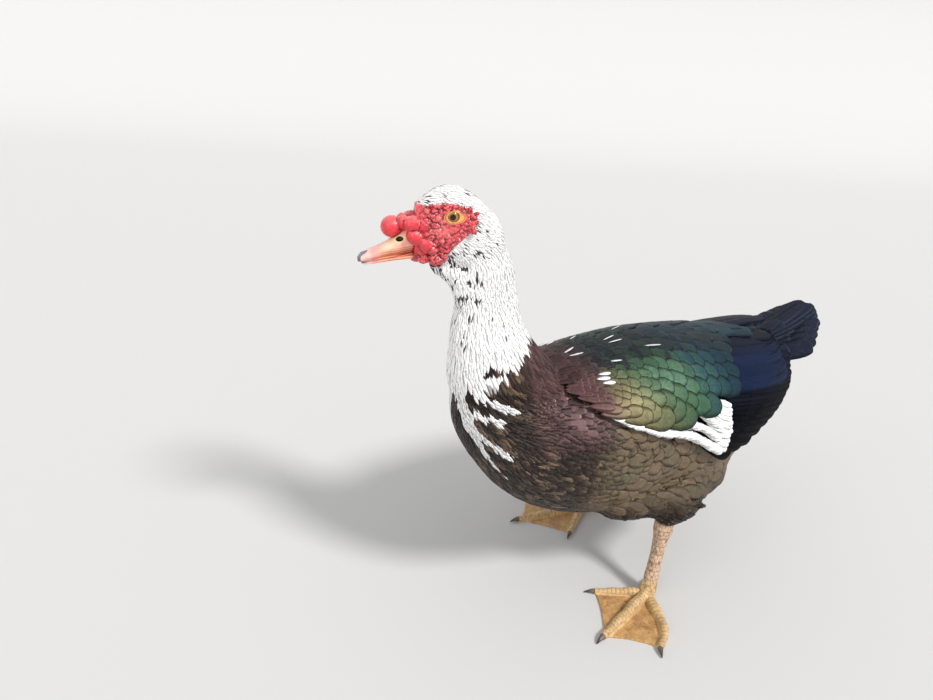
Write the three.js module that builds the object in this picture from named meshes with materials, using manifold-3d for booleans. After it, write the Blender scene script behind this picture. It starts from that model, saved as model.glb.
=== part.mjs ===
// A muscovy drake standing at rest, life size, in millimetres with Z up.
// It looks along -X with its head turned to its right, and stands on Z = 0.

import * as THREE from 'three';
import { LoftGeometry } from 'three/addons/geometries/LoftGeometry.js';
import { mergeVertices } from 'three/addons/utils/BufferGeometryUtils.js';
import Module from 'manifold-3d';

const wasm = await Module();
wasm.setup();

// Driving sizes
const gap = 0.3;                  // clearance between touching pieces
const centreShift = [ -24, 7 ];   // brings the middle of the whole bird over the origin
const ringSides = 24;
const backHeight = 283;
const bellyHeight = 83;
const bodyHalfWidth = 100;
const wingThickness = 10;         // from the outer feathers in to the body under the wing
const wingClear = 1.5;            // from the wing's inner face to the body
const wingReach = 140;            // more than half the wings' width
const wingApart = 3;              // from the bird's middle line to each wing
const coreEnd = 124;              // the feathers stand free of the wing's core behind this
const vaneThickness = 0.9;
const eyeRadius = 7;
const eyeHeight = 418;
const eyeSpread = 16.6;           // from the middle of the head to an eye's centre
const headScale = 0.965;
const headReach = 60;             // more than half the head's width
const degree = Math.PI / 180;
const headTurn = 21 * degree;
const headDip = 12 * degree;
const tailTip = 318;

// Body stations: distance along X, top, height of the widest level, bottom, half width
const bodyRows = [
	[ -197, 247, 239, 229, 8 ],
	[ -188, 259, 235, 203, 30 ],
	[ -170, 266, 224, 171, 55 ],
	[ -145, 268, 213, 142, 73 ],
	[ -110, 268, 204, 115, 87 ],
	[ -70, 272, 198, 96, 95 ],
	[ -20, 279, 193, 85, 99 ],
	[ 35, backHeight, 190, bellyHeight, bodyHalfWidth ],
	[ 85, 281, 185, 83, 102 ],
	[ 128, 275, 187, 89, 94 ],
	[ 165, 267, 195, 109, 78 ],
	[ 203, 257, 210, 154, 55 ],
	[ 234, 250, 221, 190, 38 ],
];

// The folded wings reach further back and stay wider than the rump
const wingRows = [
	...bodyRows.slice( 0, 9 ),
	[ 130, 277, 190, 90, 99 ],
	[ 170, 273, 193, 106, 92 ],
	[ 210, 269, 198, 126, 81 ],
	[ 250, 264, 204, 146, 70 ],
];

// Neck stations: height, X, Y, half depth, half width, turn towards the head
const neckRows = [
	[ 165, -105, 0, 60, 60, 0 ],
	[ 205, -118, 0, 66, 66, 0 ],
	[ 240, -132, 0, 62, 61, 0.1 ],
	[ 262, -141, 2, 56, 54, 0.2 ],
	[ 280, -149, 4, 48.5, 46.5, 0.35 ],
	[ 297, -155, 7, 39.5, 38, 0.55 ],
	[ 315, -159, 12, 32, 30, 0.8 ],
	[ 335, -159, 15, 27.5, 26, 1 ],
	[ 355, -161, 17, 26.5, 25, 1 ],
	[ 376, -165, 17, 26.5, 24, 1 ],
	[ 400, -170, 16, 22, 19, 1 ],
];

// Head stations in the head's own frame: forward of the eyes, top, bottom, half width
const headRows = [
	[ -46, -22, -34, 4 ],
	[ -42, -11, -46, 13 ],
	[ -33, 2, -54, 18 ],
	[ -20, 17, -57, 22 ],
	[ -5, 26, -55, 23.5 ],
	[ 10, 25.5, -50, 22.5 ],
	[ 24, 19.5, -43, 20 ],
	[ 36, 11, -38, 17.5 ],
	[ 48, 1, -33, 14.5 ],
	[ 58, -8, -31, 12 ],
];

const v3 = ( x, y, z ) => new THREE.Vector3( x, y, z );

// Solids and cuts
function toSolid( geometry ) {

	geometry.deleteAttribute( 'normal' );
	geometry.deleteAttribute( 'uv' );
	const merged = mergeVertices( geometry );
	const index = merged.index.array;
	const corners = [];
	for ( let i = 0; i < index.length; i += 3 ) {

		const [ a, b, c ] = [ index[ i ], index[ i + 1 ], index[ i + 2 ] ];
		if ( a !== b && b !== c && c !== a ) corners.push( a, b, c );

	}

	return new wasm.Manifold( new wasm.Mesh( {
		numProp: 3,
		vertProperties: Float32Array.from( merged.attributes.position.array ),
		triVerts: Uint32Array.from( corners ),
	} ) );

}

function toGeometry( solid ) {

	const mesh = solid.getMesh();
	const geometry = new THREE.BufferGeometry();
	geometry.setAttribute( 'position', new THREE.BufferAttribute( mesh.vertProperties, 3 ) );
	geometry.setIndex( new THREE.BufferAttribute( mesh.triVerts, 1 ) );
	geometry.computeVertexNormals();
	return geometry;

}

function largest( solid ) {

	return solid.decompose().reduce( ( a, b ) => a.volume() > b.volume() ? a : b );

}

function joined( solids ) {

	return solids.reduce( ( a, b ) => a.add( b ) );

}

function placed( solid, matrix ) {

	return solid.transform( matrix.elements );

}

function mirrored( solid ) {

	return solid.mirror( [ 0, 1, 0 ] );

}

// Keeps what lies on the side that the normal points to, half a gap clear of the point
function trimmed( solid, normal, point ) {

	const n = normal.clone().normalize();
	return solid.trimByPlane( n.toArray(), n.dot( point ) + gap / 2 );

}

// Lofts
function smoothRows( rows, stepsPerRow ) {

	const track = new THREE.CubicInterpolant( rows.map( ( row, i ) => i ), rows.flat(), rows[ 0 ].length );
	const count = ( rows.length - 1 ) * stepsPerRow;
	return Array.from( { length: count + 1 }, ( _, i ) => Array.from( track.evaluate( i / stepsPerRow ) ) );

}

function ovalRing( centre, axisA, axisB, power = 2, sides = ringSides ) {

	const round = ( value ) => Math.sign( value ) * Math.abs( value ) ** ( 2 / power );
	return Array.from( { length: sides }, ( _, i ) => {

		const angle = i / sides * Math.PI * 2;
		return centre.clone()
			.addScaledVector( axisA, round( Math.cos( angle ) ) )
			.addScaledVector( axisB, round( Math.sin( angle ) ) );

	} );

}

function loft( rings ) {

	const middle = ( ring ) => {

		return ring.reduce( ( sum, p ) => sum.add( p ), v3( 0, 0, 0 ) ).divideScalar( ring.length );

	};
	const quarter = Math.floor( rings[ 1 ].length / 4 );
	const start = middle( rings[ 1 ] );
	const turn = rings[ 1 ][ 0 ].clone().sub( start ).cross( rings[ 1 ][ quarter ].clone().sub( start ) );
	const outward = turn.dot( middle( rings[ 2 ] ).sub( start ) ) > 0;
	const ordered = outward ? rings : rings.map( ( ring ) => ring.slice().reverse() );
	return toSolid( new LoftGeometry( ordered, { capStart: true, capEnd: true } ) );

}

// Egg-shaped rings across X from rows of X, top, widest level, bottom and half width
function barrel( rows, { grow = 0, sink = () => 0, power = 2.1, steps = 2, sides = ringSides } = {} ) {

	return loft( smoothRows( rows, steps ).map( ( [ x, top, widest, bottom, half ] ) => {

		const inset = sink( x ) - grow;
		const above = Math.max( top - inset - widest, 1 );
		const under = widest - bottom + grow;
		const wide = Math.max( half - inset, 1 );
		const ring = ovalRing( v3( x, 0, 0 ), v3( 0, 0, 1 ), v3( 0, wide, 0 ), power, sides );
		return ring.map( ( p ) => v3( p.x, p.y, widest + p.z * ( p.z > 0 ? above : under ) ) );

	} ) );

}

function evenRows( rows ) {

	return rows.map( ( [ x, top, bottom, half ] ) => [ x, top, ( top + bottom ) / 2, bottom, half ] );

}

// A flat outline in X and Z, run along Y
function prism( points, fromY, toY ) {

	const outline = new THREE.Shape( points.map( ( [ x, z ] ) => new THREE.Vector2( x, z ) ) );
	const geometry = new THREE.ExtrudeGeometry( outline, { depth: toY - fromY, bevelEnabled: false } );
	geometry.rotateX( Math.PI / 2 );
	geometry.translate( 0, toY, 0 );
	return toSolid( geometry );

}

function curved( points, steps ) {

	const curve = new THREE.SplineCurve( points.map( ( [ x, z ] ) => new THREE.Vector2( x, z ) ) );
	return curve.getPoints( steps ).map( ( p ) => [ p.x, p.y ] );

}

function ball( centre, radii, detail = 2, turn = 0 ) {

	const geometry = new THREE.IcosahedronGeometry( 1, detail );
	geometry.scale( ...radii );
	geometry.rotateY( turn );
	geometry.translate( ...centre );
	return toSolid( geometry );

}

// Torso and neck
const wingStart = -150;
const wingFull = -95;

function wingSink( x ) {

	return wingThickness * THREE.MathUtils.smoothstep( x, wingStart, wingFull );

}

function neckSolid( grow = 0 ) {

	return loft( smoothRows( neckRows, 2 ).map( ( [ z, x, y, deep, wide, turn ] ) => {

		const forward = v3( -Math.cos( turn * headTurn ), Math.sin( turn * headTurn ), 0 );
		const side = v3( -forward.y, forward.x, 0 );
		forward.multiplyScalar( deep + grow );
		side.multiplyScalar( wide + grow );
		return ovalRing( v3( x, y, z ), forward, side );

	} ) );

}

const headPlace = new THREE.Matrix4();
{

	const forward = v3(
		-Math.cos( headTurn ) * Math.cos( headDip ),
		Math.sin( headTurn ) * Math.cos( headDip ),
		-Math.sin( headDip ),
	);
	const left = v3( -Math.sin( headTurn ), -Math.cos( headTurn ), 0 );
	headPlace.makeBasis( forward, left, forward.clone().cross( left ) );
	headPlace.scale( v3( headScale, headScale, headScale ) );
	headPlace.setPosition( -195.6, 20.7, eyeHeight );

}

const headBack = headPlace.clone().invert();

const torsoShape = barrel( bodyRows, { sink: wingSink } );
const torsoGrown = barrel( bodyRows, { sink: wingSink, grow: gap } );
const neckShape = neckSolid();
const neckGrown = neckSolid( gap );
const headCore = barrel( evenRows( headRows ), { power: 2, sides: 24 } );
const wholeBody = joined( [ torsoShape, neckShape ] );

// Cuts that part the body: each has a point and the direction of the upper piece
const neckBase = { point: v3( -205, 0, 228 ), up: v3( -47, 0, 125 ) };
const neckMiddle = { point: v3( -158, 12, 318 ), up: v3( -0.1, 0, 1 ) };
const headBase = { point: v3( 0, 0, -50 ), up: v3( -0.15, 0, 1 ) };
const tailBase = { point: v3( 214, 0, 215 ), up: v3( 1, 0, 0.25 ) };

const below = ( cut ) => cut.up.clone().negate();
const headBaseBody = {
	point: headBase.point.clone().applyMatrix4( headPlace ),
	up: headBase.up.clone().transformDirection( headPlace ),
};

const torso = trimmed(
	trimmed( wholeBody, below( neckBase ), neckBase.point ), below( tailBase ), tailBase.point,
);
const neckAll = trimmed( wholeBody, neckBase.up, neckBase.point );
const neckLower = trimmed( neckAll, below( neckMiddle ), neckMiddle.point );
const neckUpper = trimmed(
	trimmed( neckAll, neckMiddle.up, neckMiddle.point ), below( headBaseBody ), headBaseBody.point,
);

// Head, in its own frame: X forward along the bill, Y to the left, Z up from the eyes
const billRoot = { point: v3( 37, 0, -17 ), up: v3( 1, 0, 0.25 ) };
const maskOutline = [
	[ 80, 8 ], [ 40, 13 ], [ 28, 13.5 ], [ 13.8, 13.6 ], [ 0, 12 ], [ -11, 7.5 ], [ -20, 0 ], [ -24, -9 ],
	[ -15, -17 ], [ -1, -24.6 ], [ 8, -33 ], [ 13.5, -41 ], [ 20, -60 ], [ 80, -60 ],
];
const headMass = joined( [ headCore, placed( neckShape, headBack ) ] );
const headWhole = trimmed(
	trimmed( headMass, headBase.up, headBase.point ), billRoot.up.clone().negate(), billRoot.point,
);
const maskPrism = prism( maskOutline, -headReach, headReach );

function inset( outline, distance ) {

	// moves the mask's rear edge back by the distance, away from the bill
	return outline.map( ( [ x, z ] ) => {

		const away = new THREE.Vector2( x - 30, z + 12 ).normalize().multiplyScalar( distance );
		return [ x + away.x, z + away.y ];

	} );

}

const eyeSides = [ 1, -1 ];

// Large caruncles: centre, radii, how far the long axis dips towards the neck in degrees, and fineness
const bulbs = [
	{ at: [ 53.6, 0, -2.4 ], size: [ 10.5, 11, 10 ], fine: 2 },            // knob over the bill's root
	{ at: [ 43.5, 5, 0 ], size: [ 6, 7, 7 ], pair: true },                 // fold behind the knob
	{ at: [ 35, 12, -1.5 ], size: [ 9.5, 8.5, 7.5 ], dip: 8, pair: true },   // two lobes of the second mass
	{ at: [ 25.5, 15, -3.5 ], size: [ 6.5, 7.5, 6.5 ], pair: true },
	{ at: [ 35, 14, -13 ], size: [ 9.5, 7.5, 7.5 ], dip: 40, pair: true },   // long bulb by the mouth
	{ at: [ 25.5, 16.5, -22 ], size: [ 10, 6.5, 7.5 ], dip: 42, pair: true },
	{ at: [ 21, 14.5, -35 ], size: [ 8, 4.5, 5.5 ], dip: 25, pair: true },   // jaw
	{ at: [ 31, 13, -33 ], size: [ 6, 4.5, 5 ], pair: true },
];

function bulbSolids( grow ) {

	return bulbs.flatMap( ( { at, size, dip = 0, pair, fine = 1 } ) => {

		const radii = size.map( ( radius ) => radius + grow );
		return ( pair ? [ 1, -1 ] : [ 1 ] ).map( ( side ) => {

			return ball( [ at[ 0 ], at[ 1 ] * side, at[ 2 ] ], radii, fine, -dip * degree );

		} );

	} );

}

// Small caruncles, strewn over the mask clear of the eye
const bumpCount = 13;
const bumpTries = 3000;
const bumpSpace = 5.2;            // least distance between two
const bumpRadii = [ 2.2, 3.4 ];
const bumpSeat = 0.35;            // share of its radius that a bump sits below the skin
const bumpField = { x: [ -20, 32 ], z: [ -38, 13 ] };
const bulbClear = 7.5;            // from a bump to the middle of a large caruncle
const lidClear = 3.4;             // from the eyeball's edge to a bump
const leastSide = 6;              // no bump where the head is thinner than this

function drawFrom( seed ) {

	let state = seed;
	return () => {

		state = ( state * 16807 ) % 2147483647;
		return state / 2147483647;

	};

}

const headTrack = new THREE.CubicInterpolant( headRows.map( ( row ) => row[ 0 ] ), headRows.flat(), 4 );

function headSide( x, z ) {

	const [ , top, bottom, half ] = headTrack.evaluate( x );
	const level = ( 2 * z - top - bottom ) / ( top - bottom );
	return half * Math.sqrt( Math.max( 1 - level * level, 0 ) );

}

function bumpPlaces() {

	const draw = drawFrom( 71 );
	const outline = maskOutline.map( ( [ x, z ] ) => new THREE.Vector2( x, z ) );
	const within = ( p ) => outline.reduce( ( crossings, a, i ) => {

		const b = outline[ ( i + 1 ) % outline.length ];
		const spans = ( a.y > p.y ) !== ( b.y > p.y );
		return spans && p.x < a.x + ( b.x - a.x ) * ( p.y - a.y ) / ( b.y - a.y ) ? ! crossings : crossings;

	}, false );
	const margin = bumpRadii[ 1 ] + gap;
	const inside = ( p ) => [ 0, 1, 2, 3, 4, 5 ].every( ( k ) => {

		const way = k * Math.PI / 3;
		return within( new THREE.Vector2( p.x + margin * Math.cos( way ), p.y + margin * Math.sin( way ) ) );

	} );
	const clear = ( p, [ x, , z ], distance ) => Math.hypot( p.x - x, p.y - z ) >= distance;
	const places = [];
	for ( let tries = 0; tries < bumpTries && places.length < bumpCount; tries ++ ) {

		const p = new THREE.Vector2(
			THREE.MathUtils.lerp( ...bumpField.x, draw() ), THREE.MathUtils.lerp( ...bumpField.z, draw() ),
		);
		const free = inside( p ) && clear( p, [ 0, 0, 0 ], eyeRadius + lidClear )
			&& bulbs.every( ( { at } ) => clear( p, at, bulbClear ) )
			&& headSide( p.x, p.y ) >= leastSide
			&& places.every( ( q ) => q.distanceTo( p ) >= bumpSpace );
		if ( free ) places.push( p );

	}

	return places;

}

function bumpSolids() {

	const draw = drawFrom( 23 );
	return bumpPlaces().flatMap( ( p ) => {

		const radius = THREE.MathUtils.lerp( ...bumpRadii, draw() );
		const reach = headSide( p.x, p.y ) - bumpSeat * radius;
		const radii = [ radius, radius, radius * 1.15 ];
		return eyeSides.map( ( side ) => ball( [ p.x, reach * side, p.y ], radii, 0 ) );

	} );

}

const eyeAt = ( side, radius ) => ball( [ 0, eyeSpread * side, 0 ], [ radius, radius, radius ], 2 );

function lid( side ) {

	const ring = new THREE.TorusGeometry( eyeRadius - 1.1, 1.3, 5, 18 );
	ring.scale( 1, 0.82, 1 );
	ring.rotateX( Math.PI / 2 );
	ring.translate( 0, ( eyeSpread + 4.9 ) * side, 0 );
	return toSolid( ring );

}

const sockets = joined( eyeSides.map( ( side ) => eyeAt( side, eyeRadius + gap ) ) );
const mask = headWhole.intersect( maskPrism );
const faceWhole = joined( [ mask, ...bulbSolids( 0 ), ...bumpSolids(), ...eyeSides.map( lid ) ] );
const face = faceWhole.subtract( sockets );
const faceGrown = joined( bulbSolids( gap ) );
const maskGrown = prism( inset( maskOutline, gap ), -headReach, headReach );
const head = headWhole.subtract( maskGrown ).subtract( faceGrown );

// Bill stations: forward, top, bottom, half width
const upperBillRows = [
	[ 26, 0, -27, 13 ],
	[ 40, -3, -27, 12.5 ],
	[ 50, -8, -27, 12 ],
	[ 60, -14, -27, 11.5 ],
	[ 70, -17.5, -27, 11.8 ],
	[ 79, -19.5, -27.2, 12 ],
	[ 86, -21, -28, 9.5 ],
	[ 89.7, -24, -28, 4 ],
];
const lowerBillRows = [
	[ 24, -27.5, -35, 12 ],
	[ 45, -27.5, -33, 11.5 ],
	[ 60, -27.5, -31.5, 11 ],
	[ 75, -27.6, -31, 10.8 ],
	[ 84, -28.2, -30.8, 7.5 ],
	[ 87, -28.6, -30.2, 3 ],
];
const nailHalf = [ 10.5, 7.5 ];

function nailPrism( grow ) {

	const geometry = new THREE.CylinderGeometry( 1, 1, 30, 20 );
	geometry.rotateX( Math.PI / 2 );
	geometry.scale( nailHalf[ 0 ] + grow, nailHalf[ 1 ] + grow, 1 );
	geometry.translate( 90, 0, -26 );
	return toSolid( geometry );

}

function billHalf( rows ) {

	const whole = barrel( evenRows( rows ), { power: 2.4, steps: 1, sides: 20 } );
	return trimmed( whole, billRoot.up, billRoot.point ).subtract( faceGrown );

}

const nostril = { at: [ 49.5, 10.5, -12.5 ], radii: [ 3.6, 3, 2 ] };
const nostrils = joined( eyeSides.map( ( side ) => {

	const [ x, y, z ] = nostril.at;
	return ball( [ x, y * side, z ], nostril.radii, 1 );

} ) );
const upperWhole = billHalf( upperBillRows );
const billNail = upperWhole.intersect( nailPrism( 0 ) );
const billUpper = upperWhole.subtract( nailPrism( gap ) ).subtract( nostrils );
const billLower = billHalf( lowerBillRows );

// A feather's vane: place gives the point at a share along it and across it, on its upper or lower face
function vane( place, lengthSteps = 4, acrossSteps = 2 ) {

	const sheet = new THREE.PlaneGeometry( 2, 1, acrossSteps, lengthSteps );
	const flat = sheet.getAttribute( 'position' );
	const count = flat.count;
	const corners = [];
	for ( const lower of [ 0, 1 ] ) {

		for ( let i = 0; i < count; i ++ ) corners.push( ...place( 0.5 - flat.getY( i ), flat.getX( i ), lower ) );

	}

	const faces = Array.from( sheet.index.array );
	const under = faces.map( ( _, i ) => faces[ i - i % 3 + 2 - i % 3 ] + count );
	const row = acrossSteps + 1;
	const rim = [];
	for ( let i = 0; i < acrossSteps; i ++ ) rim.push( i );
	for ( let i = 0; i < lengthSteps; i ++ ) rim.push( i * row + acrossSteps );
	for ( let i = 0; i < acrossSteps; i ++ ) rim.push( count - 1 - i );
	for ( let i = lengthSteps; i > 0; i -- ) rim.push( i * row );
	const edge = rim.flatMap( ( a, i ) => {

		const b = rim[ ( i + 1 ) % rim.length ];
		return [ a, b, a + count, b, b + count, a + count ];

	} );
	const geometry = new THREE.BufferGeometry();
	geometry.setAttribute( 'position', new THREE.Float32BufferAttribute( corners, 3 ) );
	geometry.setIndex( [ ...faces, ...under, ...edge ] );
	const solid = toSolid( geometry );
	return solid.volume() > 0 ? solid : toSolid( flipped( geometry ) );

}

function flipped( geometry ) {

	const index = geometry.index.array;
	const turned = Array.from( index, ( _, i ) => index[ i - i % 3 + 2 - i % 3 ] );
	return geometry.clone().setIndex( turned );

}

// Widths along a vane, from its root to its tip, as shares of its greatest half width
const pointedWidths = [ 0.5, 0.85, 1, 0.8, 0.25 ];
const roundWidths = [ 0.6, 0.95, 1, 0.9, 0.45 ];

function widthAt( widths, share ) {

	const place = share * ( widths.length - 1 );
	const i = Math.min( Math.floor( place ), widths.length - 2 );
	return THREE.MathUtils.lerp( widths[ i ], widths[ i + 1 ], place - i );

}

// Wings
const wingOutline = curved( [
	[ -100, 330 ], [ -114, 292 ], [ -116, 268 ], [ -104, 250 ], [ -62, 234 ], [ -10, 216 ], [ 44, 203 ],
	[ 76, 192 ], [ 100, 194 ], [ coreEnd - 8, 206 ], [ coreEnd, 232 ], [ coreEnd, 258 ], [ coreEnd - 6, 330 ],
], 30 );

// How far the wing's core lies under the outer feathers: level at the shoulder, then down in two steps
function coreSink( x ) {

	return 2 * THREE.MathUtils.smoothstep( x, -95, -45 ) + 4.5 * THREE.MathUtils.smoothstep( x, 45, 115 );

}

const wingCore = barrel( wingRows, { sink: coreSink, steps: 1 } );
const wingInner = barrel( wingRows, { sink: () => wingThickness - wingClear, steps: 1 } );
const wingTrack = new THREE.CubicInterpolant( wingRows.map( ( row ) => row[ 0 ] ), wingRows.flat(), 5 );
const wingRadius = 95;            // mean distance from the body's axis, to turn widths into angles

// Point on the left wing at X, degrees above the widest level, and a depth under the outer feathers
function wingPoint( x, degrees, depth ) {

	const [ , top, widest, bottom, half ] = wingTrack.evaluate( x );
	const round = ( value ) => Math.sign( value ) * Math.abs( value ) ** ( 2 / 2.1 );
	const [ across, up ] = [ round( Math.cos( degrees * degree ) ), round( Math.sin( degrees * degree ) ) ];
	const reach = up > 0 ? top - widest : widest - bottom;
	return [ x, -across * ( half - depth ), widest + up * ( reach - depth ) ];

}

// Tiers of the left wing from the innermost out. Each has the first and last feather's root and tip as
// X and degrees, the feathers' half width, the depth at the tip, and how far each is rolled up or down
const tiers = [
	{ count: 4, roots: [ [ 92, 22 ], [ 100, 56 ] ], tips: [ [ 220, 26 ], [ 238, 52 ] ], half: 10,
		depth: 8.2, roll: 1.3, widths: pointedWidths },
	{ count: 7, roots: [ [ 30, 10 ], [ 66, 42 ] ], tips: [ [ 94, -9 ], [ 214, 22 ] ], half: 10.5,
		depth: 5, roll: 1.7, bow: 26, widths: roundWidths },
	{ count: 4, roots: [ [ 64, 42 ], [ 70, 74 ] ], tips: [ [ 212, 34 ], [ 228, 70 ] ], half: 18,
		depth: 0.8, roll: 1.8, widths: pointedWidths },
	{ count: 7, roots: [ [ -34, 24 ], [ 66, 60 ] ], tips: [ [ 14, 16 ], [ 120, 54 ] ], half: 11,
		depth: -0.8, roll: -1.6, bow: -4, widths: roundWidths },
];
const rootSink = 0.9;             // how far a feather's root lies inside the core

function wingVanes( { count, roots, tips, half, depth, roll, bow = 0, widths } ) {

	return Array.from( { length: count }, ( _, i ) => {

		const share = i / ( count - 1 );
		const between = ( ends, k ) => THREE.MathUtils.lerp( ends[ 0 ][ k ], ends[ 1 ][ k ], share );
		const [ rootX, rootTurn ] = [ between( roots, 0 ), between( roots, 1 ) ];
		const [ tipX, tipTurn ] = [ between( tips, 0 ) + bow * Math.sin( share * Math.PI ), between( tips, 1 ) ];
		const rootDepth = Math.max( coreSink( rootX ) + rootSink, depth );
		const along = new THREE.Vector2( tipX - rootX, ( tipTurn - rootTurn ) * degree * wingRadius ).normalize();
		return vane( ( length, across, lower ) => {

			const aside = across * half * widthAt( widths, length );
			const x = THREE.MathUtils.lerp( rootX, tipX, length ) - along.y * aside;
			const turn = THREE.MathUtils.lerp( rootTurn, tipTurn, length ) + along.x * aside / wingRadius / degree;
			const ridge = 0.4 * ( 1 - across * across );
			const sunk = THREE.MathUtils.lerp( rootDepth, depth, length ** 0.8 );
			return wingPoint( x, turn, sunk + across * roll - ridge + lower * vaneThickness );

		}, depth < 0 ? 3 : 4, half > 15 ? 2 : 1 );

	} );

}

function wing( side ) {

	const core = wingCore.intersect( prism( wingOutline, -wingReach, -wingApart ) ).subtract( wingInner );
	const plate = joined( [ core, ...tiers.flatMap( wingVanes ) ] ).trimByPlane( [ 0, -1, 0 ], wingApart );
	const sided = side > 0 ? plate : mirrored( plate );
	return sided.subtract( torsoGrown ).subtract( neckGrown );

}

// Tail: a covered root with a roof-shaped fan of feathers, the middle pair on top
const tailRows = [
	[ 206, 257, 160, 52 ],
	[ 228, 252, 194, 39 ],
	[ 246, 254, 218, 37 ],
	[ 258, 256, 234, 35 ],
	[ 266, 256, 246, 30 ],
];
const tailFeathers = 8;           // on each side of the middle
const tailRoot = { x: 232, spread: 26, z: 246, drop: 12 };
const tailEdge = { x: 281, spread: 58, z: 282, drop: 33 };
const tailHalf = 12;
const tailRoll = 1.4;
const tailSlope = 0.75;           // fall of the outermost feathers for each millimetre outwards
const tailSag = 3;
const tailStack = 1;              // how far each feather lies under the one nearer the middle

function tailVanes( side ) {

	return Array.from( { length: tailFeathers }, ( _, i ) => {

		const share = ( i + 0.5 ) / tailFeathers;
		const root = v3(
			tailRoot.x, share * tailRoot.spread * side, tailRoot.z - tailRoot.drop * share ** 1.7,
		);
		const tip = v3(
			THREE.MathUtils.lerp( tailTip, tailEdge.x, share ** 2.2 ), share * tailEdge.spread * side,
			tailEdge.z - tailEdge.drop * share ** 1.6,
		);
		const along = tip.clone().sub( root ).normalize();
		const flat = v3( 0, side, -tailSlope * share ** 0.6 );
		const aside = flat.addScaledVector( along, -along.dot( flat ) ).normalize();
		const outward = aside.clone().cross( along ).multiplyScalar( side );
		if ( outward.z < 0 ) outward.negate();
		return vane( ( length, across, lower ) => {

			const width = tailHalf * widthAt( roundWidths, length );
			const ridge = 0.5 * ( 1 - across * across );
			const sunk = tailStack * i + tailSag * Math.sin( length * Math.PI ) + lower * vaneThickness;
			const height = across * tailRoll + ridge - sunk;
			const point = root.clone().lerp( tip, length ).addScaledVector( aside, across * width );
			return point.addScaledVector( outward, height ).toArray();

		}, 3, 1 );

	} );

}

const tailWhole = barrel( evenRows( tailRows ), { steps: 1, sides: 20 } );
const tailCore = trimmed( tailWhole, tailBase.up, tailBase.point );
const tail = joined( [ tailCore, ...tailVanes( 1 ), ...tailVanes( -1 ) ] );

// Legs: the foot's middle toe joint and the ankle, left and right
const legs = {
	left: {
		base: v3( 20, -85, 0 ), ankle: v3( 44, -70, 76 ), flank: v3( 56, -57, 114 ),
		yaw: -163 * degree, side: 1,
	},
	right: {
		base: v3( 58, 78, 0 ), ankle: v3( 76, 60, 76 ), flank: v3( 74, 52, 114 ),
		yaw: 170 * degree, side: -1,
	},
};
const toes = {
	inner: { angle: -47 * degree, length: 60, radius: 5, bow: 0 },
	middle: { angle: 0, length: 92, radius: 5.8, bow: 0 },
	outer: { angle: 38 * degree, length: 80, radius: 5.2, bow: 9 },
};
const clawLength = 11;
const webThickness = 1.8;
const shankFoot = 17;             // height where the foot ends and the shank begins

function toePoint( { angle, length, bow = 0 }, share, height ) {

	const aside = bow * Math.sin( Math.PI * Math.min( share, 1 ) ** 1.6 );
	return v3(
		Math.cos( angle ) * length * share - Math.sin( angle ) * aside,
		Math.sin( angle ) * length * share + Math.cos( angle ) * aside,
		height,
	);

}

const toeWay = ( angle ) => v3( Math.cos( angle ), Math.sin( angle ), 0 );

// A tube of round rings along points with radii
function limb( stations, sides = 8 ) {

	return loft( stations.map( ( { at, radius, tall = radius }, i ) => {

		const before = stations[ Math.max( i - 1, 0 ) ].at;
		const after = stations[ Math.min( i + 1, stations.length - 1 ) ].at;
		const along = after.clone().sub( before ).normalize();
		const reference = Math.abs( along.z ) > 0.8 ? v3( 1, 0, 0 ) : v3( 0, 0, 1 );
		const across = reference.clone().cross( along ).normalize();
		const upward = along.clone().cross( across );
		return ovalRing( at, upward.multiplyScalar( tall ), across.multiplyScalar( radius ), 2, sides );

	} ) );

}

function toe( sizes ) {

	const stations = Array.from( { length: 7 }, ( _, i ) => {

		const share = i / 6;
		const swell = 1 + 0.08 * Math.cos( share * Math.PI * 6 );
		const thick = sizes.radius * THREE.MathUtils.lerp( 1.15, 0.62, share ) * swell;
		return { at: toePoint( sizes, share, thick * 0.75 ), radius: thick };

	} );
	return trimmed( limb( stations ), toeWay( sizes.angle ).negate(), toePoint( sizes, 1, 0 ) );

}

function claw( { angle, length, radius } ) {

	const stations = [ -0.1, 0.3, 0.6, 0.85, 1 ].map( ( share ) => {

		const reach = length + gap + clawLength * share;
		const thick = radius * THREE.MathUtils.lerp( 0.62, 0.12, share );
		const height = THREE.MathUtils.lerp( radius * 0.62, thick + 0.3, Math.max( share, 0 ) ** 2 );
		return { at: v3( Math.cos( angle ) * reach, Math.sin( angle ) * reach, height ), radius: thick };

	} );
	const sunk = trimmed( limb( stations, 6 ), v3( 0, 0, 1 ), v3( 0, 0, -gap / 2 ) );
	return trimmed( sunk, toeWay( angle ), toePoint( { angle, length }, 1, 0 ) );

}

function web( first, second ) {

	const a = toePoint( first, 0.98, 0 );
	const b = toePoint( second, 0.98, 0 );
	const hollow = a.clone().add( b ).multiplyScalar( 0.5 * 0.9 );
	const outline = new THREE.Shape();
	outline.moveTo( -4, 0 );
	outline.lineTo( a.x, a.y );
	outline.quadraticCurveTo( hollow.x, hollow.y, b.x, b.y );
	for ( const share of [ 0.8, 0.6, 0.4, 0.2 ] ) {

		const along = toePoint( second, share, 0 );
		outline.lineTo( along.x, along.y );

	}

	outline.closePath();
	return toSolid( new THREE.ExtrudeGeometry( outline, {
		depth: webThickness, bevelEnabled: false, curveSegments: 6,
	} ) );

}

const hindToe = { angle: -155 * degree, length: 20, radius: 3.4 };

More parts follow.
